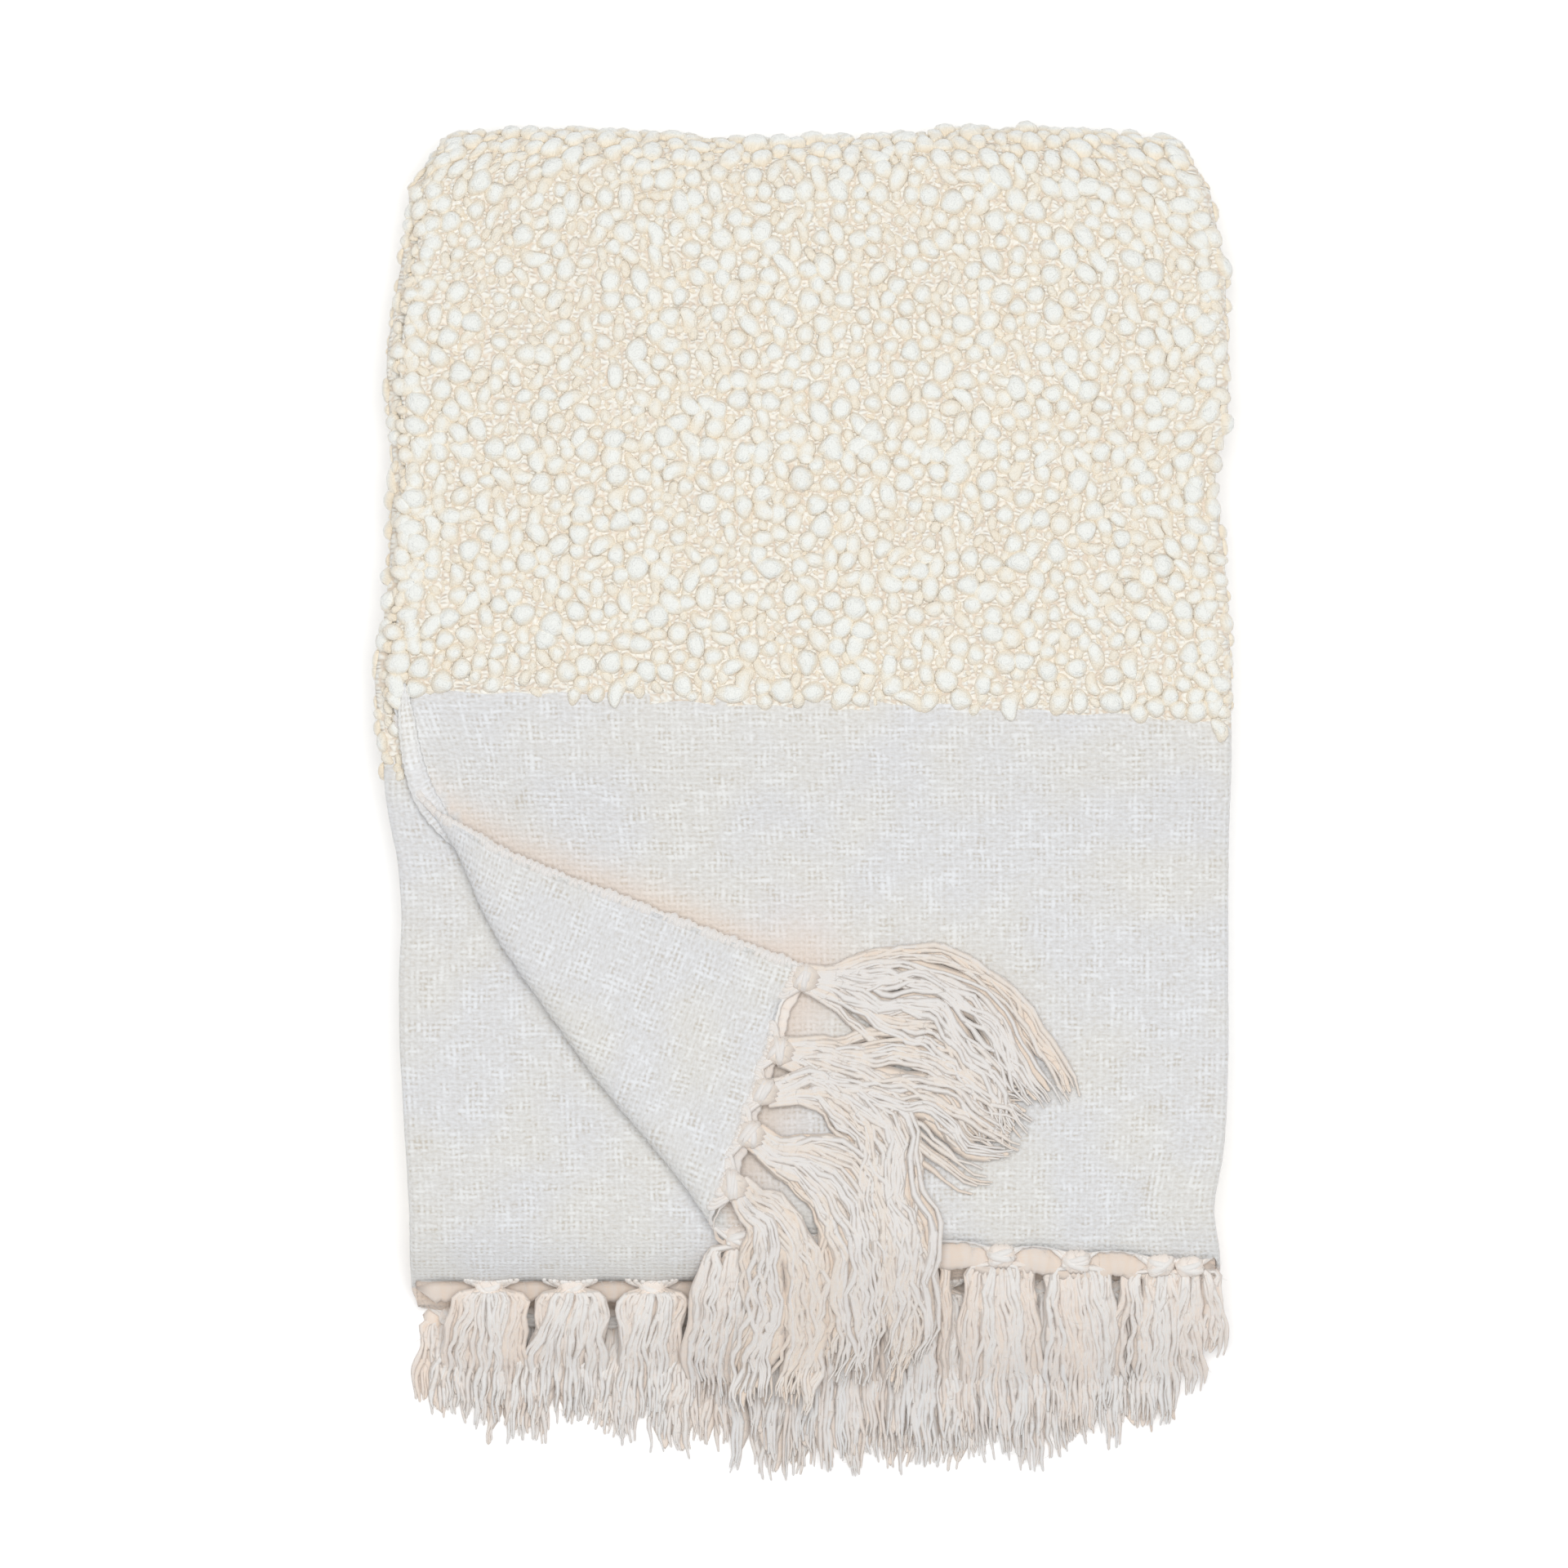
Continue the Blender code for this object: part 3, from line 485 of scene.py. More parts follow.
class MeshPile:
    """Many small closed forms gathered into one mesh."""

    def __init__(self) -> None:
        """Start empty."""
        self.parts: list[tuple] = []
        self.faces: list[list] = []
        self.count = 0

    def add(self, verts: Array, faces: list, coords: Array, tone: Array, shade: float) -> None:
        """Add one form.

        Args:
            verts: Its points.
            faces: Arrays of faces, one array for each number of corners.
            coords: Its own two coordinates at each point.
            tone: 0 deep in the cloth to 1 at the top, at each point.
            shade: Its own lightness, -1 to 1.
        """
        self.parts.append((verts, coords, tone, np.full(len(verts), shade)))
        self.faces.extend(face for part in faces for face in (part + self.count).tolist())
        self.count += len(verts)

    def tube(self, path: Array, radii: Array, sides: int, tone: Array, shade: float,
             flatness: float = 1.0) -> None:
        """Add a closed tube along a path.

        Args:
            path: The points of its middle.
            radii: Its radius, one or at each point.
            sides: Number of sides.
            tone: Tone, one or at each point of the path.
            shade: Its own lightness.
            flatness: Height for its width.
        """
        count = len(path)
        radii, tone = np.broadcast_to(radii, count), np.broadcast_to(tone, count)
        turn = 2 * np.pi * np.arange(sides) / sides
        verts, ahead = tube_rings(path, radii, turn, flatness)
        ends = np.stack((path[0] - ahead[0] * radii[0] * 0.6, path[-1] + ahead[-1] * radii[-1] * 1.2))
        length = run_length(path)
        coords = np.stack((np.repeat(length, sides), np.tile(turn / (2 * np.pi), count)), -1)
        self.add(np.concatenate((verts, ends)), tube_faces(count, sides),
                 np.concatenate((coords, [[length[0], 0.5], [length[-1], 0.5]])),
                 np.concatenate((np.repeat(tone, sides), tone[[0, -1]])), shade)

    def make(self, name: str, material: bpy.types.Material) -> bpy.types.Object:
        """Make the gathered forms one smooth object."""
        verts, coords, tone, shade = (np.concatenate(part) for part in zip(*self.parts))
        verts[:, 2] = np.maximum(verts[:, 2], FLOOR_GAP)
        return make_object(name, verts, self.faces, coords, tone, shade, material)


class NodeTree:
    """Short ways to join shader nodes."""

    def __init__(self, name: str) -> None:
        """Make a material with a Principled shader."""
        self.material = bpy.data.materials.new(name)
        self.material.use_nodes = True
        self.nodes = self.material.node_tree.nodes
        self.shader = self.nodes["Principled BSDF"]

    def node(self, kind: str, *inputs: object, **settings: object) -> bpy.types.Node:
        """A new node with its settings, and its first inputs joined or set."""
        node = self.nodes.new("ShaderNode" + kind)
        for name, value in settings.items():
            setattr(node, name, value)
        for value, socket in zip(inputs, node.inputs):
            self.join(value, socket)
        return node

    def join(self, value: object, socket: bpy.types.NodeSocket) -> None:
        """Link an output to a socket, or set a plain value on it."""
        if isinstance(value, Signal):
            self.material.node_tree.links.new(value.socket, socket)
        else:
            socket.default_value = value

    def attribute(self, name: str) -> "Signal":
        """A point value."""
        return Signal(self, self.node("Attribute", attribute_name=name).outputs["Fac"])

    def cloth_coords(self) -> tuple:
        """The cloth's own coordinates as a vector and as its two parts."""
        vector = Signal(self, self.node("UVMap", uv_map="cloth").outputs[0])
        split = self.node("SeparateXYZ", vector)
        return vector, Signal(self, split.outputs[0]), Signal(self, split.outputs[1])

    def combine(self, x: object, y: object) -> "Signal":
        """A vector from its parts."""
        return Signal(self, self.node("CombineXYZ", x, y, 0.0).outputs[0])

    def noise(self, vector: object, scale: float, detail: float) -> "Signal":
        """A noise value over two coordinates, about 0.5 on average."""
        node = self.node("TexNoise", vector, noise_dimensions="2D")
        node.inputs["Scale"].default_value = scale
        node.inputs["Detail"].default_value = detail
        return Signal(self, node.outputs[0])

    def ramp(self, value: object, *stops: tuple) -> "Signal":
        """A colour ramp through (place, colour) stops."""
        node = self.node("ValToRGB", value)
        elements = node.color_ramp.elements
        while len(elements) < len(stops):
            elements.new(0.5)
        for element, (place, colour) in zip(elements, stops):
            element.position = place
            element.color = colour
        return Signal(self, node.outputs[0])

    def blend(self, kind: str, share: object, first: object, second: object) -> "Signal":
        """Two colours blended, with a share of the second."""
        node = self.node("Mix", share, data_type="RGBA", blend_type=kind)
        self.join(first, node.inputs[6])
        self.join(second, node.inputs[7])
        return Signal(self, node.outputs[2])

    def finish(self, colour: object, height: object, depth: float, sheen: float,
               fuzz: tuple = WHITE) -> bpy.types.Material:
        """Set the shader's colour, relief and sheen.

        Args:
            colour: Colour output.
            height: Height output.
            depth: How deep the relief is.
            sheen: Weight of the sheen.
            fuzz: Colour of the sheen.

        Returns:
            The material.
        """
        bump = self.node("Bump")
        self.join(height, bump.inputs["Height"])
        settings = {"Normal": Signal(self, bump.outputs[0]), "Base Color": colour, "Roughness": 0.85,
                    "Specular IOR Level": 0.15, "Sheen Weight": sheen, "Sheen Roughness": 0.6,
                    "Sheen Tint": fuzz}
        for node, values in ((bump, {"Strength": 1.0, "Distance": depth}), (self.shader, settings)):
            for name, value in values.items():
                self.join(value, node.inputs[name])
        return self.material


@dataclass(frozen=True)
class Signal:
    """A shader node's output, which plain arithmetic joins to Math nodes."""

    tree: NodeTree
    socket: bpy.types.NodeSocket

    def math(self, operation: str, *others: object) -> "Signal":
        """The output of a Math node that starts with this one."""
        return Signal(self.tree, self.tree.node("Math", self, *others, operation=operation).outputs[0])

    def __add__(self, other: object) -> "Signal":
        """The sum."""
        return self.math("ADD", other)

    def __sub__(self, other: object) -> "Signal":
        """The difference."""
        return self.math("SUBTRACT", other)

    def __rsub__(self, other: float) -> "Signal":
        """The difference from a number."""
        return Signal(self.tree, self.tree.node("Math", other, self, operation="SUBTRACT").outputs[0])

    def __mul__(self, other: object) -> "Signal":
        """The product."""
        return self.math("MULTIPLY", other)

    def __truediv__(self, other: object) -> "Signal":
        """The quotient."""
        return self.math("DIVIDE", other)

    def scaled(self, gain: object, offset: object) -> "Signal":
        """The value times a gain, plus an offset."""
        return self.math("MULTIPLY_ADD", gain, offset)


def yarn_grid(tree: NodeTree, pitch: tuple, scales: tuple, drift: float) -> tuple:
    """The cloth's coordinates, and the same counted in unevenly laid yarns.

    Args:
        tree: The material's nodes.
        pitch: Distance between yarns, across and along.
        scales: Scales of the unevenness, across and along.
        drift: Its width.

    Returns:
        The coordinates as a vector, across and along, then the yarns across and along.
    """
    vector, u, s = tree.cloth_coords()
    p = (u + tree.noise(vector, scales[0], 1.0).scaled(drift, -drift / 2)) / pitch[0]
    q = (s + tree.noise(tree.combine(s, u), scales[1], 1.0).scaled(drift, -drift / 2)) / pitch[1]
    return vector, u, s, p, q


def yarn_height(across: Signal, along: Signal, phase: float) -> Signal:
    """Height of one set of yarns, which pass over and under the other set in turn."""
    near = across.math("ROUND")
    profile = ((across - near) * math.pi).math("COSINE")
    return profile * ((along + near + phase) * math.pi).math("COSINE").scaled(0.22, 0.78)


def slub(across: Signal, along: Signal) -> Signal:
    """Thick and thin places along each yarn, about 0 on average."""
    place = across.tree.combine(across.math("ROUND") * 0.71, along * 46.0)
    return across.tree.noise(place, 1.0, 0.0).scaled(0.9, -0.45)


@dataclass(frozen=True)
class PlainWeave:
    """Open plain weave of soft uneven yarn, with painted warm shade in the small holes between the yarns."""

    name: str = "plain_weave"
    pitch: tuple = (0.0030, 0.0030)
    yarn: tuple = linear(224, 223, 222)
    bright: tuple = linear(237, 238, 239)
    hole_shade: tuple = linear(209, 203, 194)
    hollow_shade_tint: tuple = linear(240, 220, 202)
    cool: tuple = (0.985, 0.990, 1.0, 1.0)
    warm: tuple = (1.0, 0.992, 0.962, 1.0)
    closed_tone: float = 0.60
    relief: float = 0.0004
    sheen: float = 0.5

    def make(self) -> bpy.types.Material:
        """Build the material."""
        tree = NodeTree(self.name)
        vector, u, s, p, q = yarn_grid(tree, self.pitch, (75.0, 68.0), 0.0020)
        warp, weft = yarn_height(p, q, 0.0), yarn_height(q, p, 1.0)
        full = (warp + slub(p, s)).math("MAXIMUM", weft + slub(q, u))
        patch = tree.noise(tree.combine(u, s * 1.4), 85.0, 2.0)
        closed = tree.ramp(patch, (0.36, (0.0, 0.0, 0.0, 1.0)), (0.56, (0.9, 0.9, 0.9, 1.0)))
        full = closed.scaled(self.closed_tone - full, full)
        full = tree.noise(tree.combine(u * 0.45, s), 700.0, 1.0).scaled(0.80, full - 0.40)
        # Painted shade: the low gaps between the yarns take the hole colour, which stands for the shade seen
        # through the open weave.
        tint = tree.ramp(full, (0.14, self.hole_shade), (0.56, self.yarn), (1.0, self.bright))
        warmth = tree.ramp(tree.noise(vector, 17.0, 1.0), (0.38, self.cool), (0.62, self.warm))
        tint = tree.blend("MULTIPLY", 1.0, tint, warmth)
        # Painted shade: the shade attribute mixes warm hollow shade into the colour beside the turned corner
        # and under the hems of upper layers.
        tint = tree.blend("MIX", tree.attribute("shade"), tint, self.hollow_shade_tint)
        return tree.finish(tint, warp.math("MAXIMUM", weft), self.relief, self.sheen)


@dataclass(frozen=True)
class BoucleGround:
    """The woven ground under the boucle loops: fine bunched weft, with painted warm shade in the gaps between
    its lumps.
    """

    high: tuple = linear(247, 246, 240)
    middle: tuple = linear(243, 238, 227)
    low: tuple = linear(231, 218, 202)
    pitch: tuple = (0.0038, 0.0026)
    relief: float = 0.0010
    sheen: float = 0.2

    def make(self) -> bpy.types.Material:
        """Build the material."""
        tree = NodeTree("boucle_ground")
        vector, _, _, p, q = yarn_grid(tree, self.pitch, (210.0, 120.0), 0.0044)
        lump = yarn_height(q, p, 1.0) * yarn_height(p, q, 0.0)
        full = tree.noise(vector, 300.0, 0.0).scaled(0.9, lump - 0.45)
        # Painted shade: the ramp runs from the low colour, painted shade in the gaps between the lumps, to
        # the high colour on the lumps.
        tint = tree.ramp(full, (0.0, self.low), (0.24, self.middle), (0.66, self.high))
        return tree.finish(tint, full, self.relief, self.sheen)


@dataclass(frozen=True)
class LoopYarn:
    """Soft thick roving of the boucle loops, with painted golden shade low down where they dive into the
    ground and painted light on their tops.
    """

    deep: tuple = linear(243, 230, 208)
    middle: tuple = linear(246, 240, 226)
    top: tuple = linear(248, 249, 244)
    relief: float = 0.0005
    sheen: float = 0.6

    def make(self) -> bpy.types.Material:
        """Build the material."""
        tree = NodeTree("loop_yarn")
        vector, _, _ = tree.cloth_coords()
        cloud = tree.noise(vector, 230.0, 1.0)
        tone = tree.attribute("shade").scaled(0.10, cloud.scaled(0.45, tree.attribute("tone")))
        # Painted shade and light: the tone runs from the deep colour, painted warm shade at a loop's base, to
        # the top colour, painted light on its crown.
        tint = tree.ramp(tone, (0.10, self.deep), (0.64, self.middle), (1.00, self.top))
        return tree.finish(tint, cloud.scaled(2.0, tree.noise(vector, 1100.0, 1.0)), self.relief, self.sheen)


@dataclass(frozen=True)
class FringeYarn:
    """Two-ply fringe yarn, fuzzy and warm white, with painted peach shade in its depths and duller tips."""

    name: str = "fringe_yarn_soft"
    haze: float = 1.0
    deep: tuple = linear(245, 226, 208)
    middle: tuple = linear(243, 232, 222)
    top: tuple = linear(240, 238, 235)
    veil: tuple = (0.90, 0.915, 0.935, 1.0)
    veil_from: float = 0.035
    veil_length: float = 0.060
    fuzz: tuple = (1.0, 0.91, 0.84, 1.0)
    ply_length: float = 0.0046
    relief: float = 0.0001
    sheen: float = 1.0

    def make(self) -> bpy.types.Material:
        """Build the material."""
        tree = NodeTree(self.name)
        vector, length, around = tree.cloth_coords()
        ply = ((length / self.ply_length + around) * math.pi).math("SINE").math("ABSOLUTE")
        tone = tree.noise(vector, 120.0, 1.0).scaled(0.40, tree.attribute("tone") - 0.20)
        tone = tree.attribute("shade").scaled(0.12, ply.scaled(0.12, tone))
        # Painted shade: low tones, for yarns at a tassel's sides and under others, take the deep peach
        # colour.
        tint = tree.ramp(tone, (0.10, self.deep), (0.50, self.middle), (0.95, self.top))
        dull = (length - self.veil_from) * (self.haze / self.veil_length)
        veil = tree.ramp(dull, (0.0, WHITE), (1.0, self.veil))
        return tree.finish(tree.blend("MULTIPLY", 1.0, tint, veil), ply, self.relief, self.sheen, self.fuzz)


# Painted light: a lighter copy of the plain weave for the selvedge roll, to make up for the shade on its
# rounded sides.
ROLL_WEAVE_PAINTED_LIGHT = PlainWeave("plain_weave_roll_painted_light", yarn=linear(232, 231, 230), bright=linear(245, 246, 247),
                        hole_shade=linear(220, 215, 207))
TURNED_YARN = FringeYarn("fringe_yarn_turned", 0.0, linear(240, 218, 197), linear(237, 226, 214),
                         linear(235, 232, 229))


@dataclass(frozen=True)
class Floor:
    """Plain pale studio floor."""

    colour: tuple = (0.97, 0.97, 0.97, 1.0)
    glow: float = 0.20

    def make(self) -> bpy.types.Material:
        """Build the material."""
        tree = NodeTree("floor_plain")
        for name, value in (("Base Color", self.colour), ("Roughness", 1.0), ("Specular IOR Level", 0.0),
                            ("Emission Color", WHITE), ("Emission Strength", self.glow)):
            tree.shader.inputs[name].default_value = value
        return tree.material


@dataclass
class WovenCloth:
    """The whole cloth as one thin folded sheet, woven plain at its ends and boucle between."""

    name: str = "throw_cloth_woven"
    plain_half: float = 0.0012
    boucle_half: float = 0.0017
    row_bands: tuple = (  # (from, to, step)
        (0.000, 0.300, 0.0058), (0.300, 0.530, 0.0062), (0.530, 0.680, 0.0040), (0.680, 1.150, 0.0120),
        (1.150, 1.300, 0.0042), (1.300, 1.620, 0.0120))
    column_steps: tuple = (0.0055, 0.0120, 0.0160)
    fold_cells: int = 8

    def columns(self) -> Array:
        """Places across the flat cloth of the mesh's columns."""
        places = [np.linspace(start, end, int((end - start) / step) + 1)
                  for (start, end), step in zip(FOLD.spans, self.column_steps)]
        for _, start in FOLD.spans[:2]:
            places.append(np.linspace(start, start + FOLD.fold_band, self.fold_cells + 1)[1:-1])
        return np.sort(np.concatenate(places))

    def rows(self) -> Array:
        """Shares of the cloth's length of the mesh's rows."""
        places = [np.arange(start, end - step / 2, step) for start, end, step in self.row_bands]
        places = np.concatenate(places + [[self.row_bands[-1][1]]])
        return places / places[-1]

    def make(self, plain: bpy.types.Material, boucle: bpy.types.Material) -> bpy.types.Object:
        """Build the sheet: both faces folded into place, and joined round the edge.

        Args:
            plain: Finish of the borders.
            boucle: Finish of the field between them.

        Returns:
            The finished object.
        """
        u, share = np.meshgrid(self.columns(), self.rows())
        near = near_hem(u)
        s = near + (FOLD.far_hem(u) - near) * share
        pile = FOLD.pile_share(FOLD.layer_at(u), s + border_shift(u))
        uneven = 0.00018 * np.sin(410.0 * u + 190.0 * s) * np.sin(350.0 * s - 130.0 * u)
        half = self.plain_half + (self.boucle_half - self.plain_half) * pile + uneven
        upper, under = FOLD.place(u, s, half), FOLD.place(u, s, -half)
        upper[..., 2] = np.maximum(upper[..., 2], FLOOR_GAP)
        high = np.arange(u.size).reshape(u.shape)
        low = high + u.size
        cells = np.stack((high[:-1, :-1], high[:-1, 1:], high[1:, 1:], high[1:, :-1]), -1).reshape(-1, 4)
        faces = [cells, (cells + u.size)[:, ::-1]]
        for a, b in ((high[0], low[0]), (low[-1], high[-1]), (low[:, 0], high[:, 0]),
                     (high[:, -1], low[:, -1])):
            faces.append(np.stack((b[:-1], b[1:], a[1:], a[:-1]), -1))
        faces = np.concatenate(faces)
        # The shade values carry the painted hollow shade to both faces.
        tone, shade = np.tile(pile.ravel(), 2), np.tile(self.painted_hollow_shade(u, s, upper).ravel(), 2)
        made = make_object(self.name, np.concatenate((upper.reshape(-1, 3), under.reshape(-1, 3))),
                           faces.tolist(), np.tile(np.stack((u, s), -1).reshape(-1, 2), (2, 1)), tone, shade,
                           plain, boucle)
        woolly = tone[faces].mean(axis=1) > 0.55
        made.data.polygons.foreach_set("material_index", woolly.astype(np.int32))
        return made

    @staticmethod
    def painted_hollow_shade(u: Array, s: Array, points: Array) -> Array:
        """Painted warm shade of places next to the turned corner's edge and under the hems of upper layers.

        Args:
            u: Places across the flat cloth.
            s: Distances along the path.
            points: The same places on the folded cloth.

        Returns:
            0 in the open to 1 where the painted shade in the hollows is deepest.
        """
        side = FOLD.place(0.0, np.linspace(0.012, FOLD.crease_start[1] + 0.030, 50))
        across = np.linspace(0.0, FOLD.crease_end[0], 40)
        edge = np.concatenate((side, FOLD.place(across, FOLD.near_hem(across))))[:, :2]
        near = (u < FOLD.spans[0][1]) & (s < FOLD.plain_border) & ~(FOLD.beyond_crease(u, s) > 0.0)
        gaps = np.linalg.norm(points[near][:, None, :2] - edge[None, :, :], axis=-1)
        beside, beyond = gaps[:, :len(side)].min(axis=1), gaps[:, len(side):].min(axis=1)
        shade = np.zeros(u.shape)
        # Painted shade along the turned corner's selvedge and near its hem.
        shade[near] = np.maximum(0.64 * np.exp(-(beside / 0.012) ** 2) * ease((0.250 - s[near]) / 0.022),
                                 0.60 * np.exp(-(beyond / 0.024) ** 2))
        layer = FOLD.layer_at(u)
        # Painted shade under the hems of the upper layers.
        under_hem_shade = ease((layer - 0.3) / 0.5) * ease((0.034 - (s - FOLD.near_hem(u))) / 0.020)
        open_side = np.where(layer < 1.5, ease((points[..., 0] + 0.06) / 0.03), 1.0)
        return np.maximum(shade, 0.9 * under_hem_shade * open_side)


@dataclass
class Patchwork:
    """Smooth uneven values over the flat cloth, the same in every run."""

    cell: float
    seed: int
    count: int = 80

    def __post_init__(self) -> None:
        """Draw the values at the corners of the cells."""
        self.grid = np.random.default_rng(self.seed).random((self.count, self.count))

    def at(self, u: Array, s: Array) -> Array:
        """Values from 0 to 1 at places on the cloth."""
        a, b = np.asarray(u, float) / self.cell, np.asarray(s, float) / self.cell
        i, j = np.floor(a).astype(int), np.floor(b).astype(int)
        x, y = ease(a - i), ease(b - j)
        i, j = i % self.count, j % self.count
        k, m = (i + 1) % self.count, (j + 1) % self.count
        low = self.grid[i, j] * (1 - x) + self.grid[k, j] * x
        high = self.grid[i, m] * (1 - x) + self.grid[k, m] * x
        return low * (1 - y) + high * y


@dataclass
class LoopMaster:
    """One boucle loop, modelled once: thick yarn spun round part of a turn, with soft round ends."""

    kind: LoopKind
    ring: float
    yarn: float
    sweep: float
    steps: int
    sides: int

    def model(self) -> None:
        """Spin the yarn's section round the ring, close its ends and keep its shape."""
        bpy.ops.object.select_all(action="DESELECT")
        bpy.ops.mesh.primitive_circle_add(vertices=self.sides, radius=self.yarn, fill_type="NGON",
                                          location=(self.ring, 0.0, 0.0), rotation=(math.pi / 2, 0.0, 0.0))
        made = bpy.context.object
        bpy.ops.object.transform_apply(location=True, rotation=True, scale=True)
        bpy.ops.object.mode_set(mode="EDIT")
        bpy.ops.mesh.select_all(action="SELECT")
        bpy.ops.mesh.spin(steps=self.steps, angle=self.sweep, center=(0.0, 0.0, 0.0), axis=(0.0, 0.0, 1.0))
        bpy.ops.mesh.select_all(action="SELECT")
        bpy.ops.mesh.normals_make_consistent(inside=False)
        bpy.ops.object.mode_set(mode="OBJECT")
        count = len(made.data.vertices) // self.sides
        share = np.repeat(np.arange(count) / (count - 1), self.sides)
        verts = np.array([vert.co for vert in made.data.vertices])
        angle = self.sweep * share
        centre = np.stack((np.cos(angle) * self.ring, np.sin(angle) * self.ring, np.zeros(len(verts))), -1)
        if np.abs(np.linalg.norm(verts - centre, axis=1) - self.yarn).max() > 1e-5:
            centre[:, 1] *= -1.0
        way = 1.0 if verts[:, 1].mean() > 0 else -1.0
        even = 0.5 - 0.5 * np.cos(np.pi * share)
        girth = np.sqrt(1.0 - 0.94 * (2.0 * even - 1.0) ** 2)
        verts = self.turned(centre + (verts - centre) * girth[:, None], self.sweep * (even - share) * way)
        way = 1.0 if verts[:, 1].mean() > 0 else -1.0
        self.verts = self.settle(self.turned(verts, math.pi / 2 - self.sweep / 2 * way), even)
        polygons = sorted(list(face.vertices) for face in made.data.polygons)
        sizes = sorted({len(face) for face in polygons})
        self.faces = [np.array([face for face in polygons if len(face) == size]) for size in sizes]
        bpy.data.objects.remove(made, do_unlink=True)

    @staticmethod
    def turned(verts: Array, angle: Array) -> Array:
        """Points turned round the middle of the ring."""
        x, y, z = verts.T
        return np.stack((x * np.cos(angle) - y * np.sin(angle), x * np.sin(angle) + y * np.cos(angle), z), -1)

    def settle(self, verts: Array, share: Array) -> Array:
        """Stand or lay the loop the way its kind does, with its ends sunk into the cloth."""
        x, y, z = verts.T
        if self.kind is LoopKind.ARCH:
            return np.stack((x, z, (y - self.ring) * 0.60 + self.yarn * 0.30), -1)
        lift = self.yarn * (0.34 - 0.34 * (2.0 * share - 1.0) ** 2)
        if self.kind is LoopKind.CURL:
            lift = self.yarn * (0.55 - 0.50 * share)
        return np.stack((x, y - self.ring * 0.96, z * 0.68 + lift), -1)


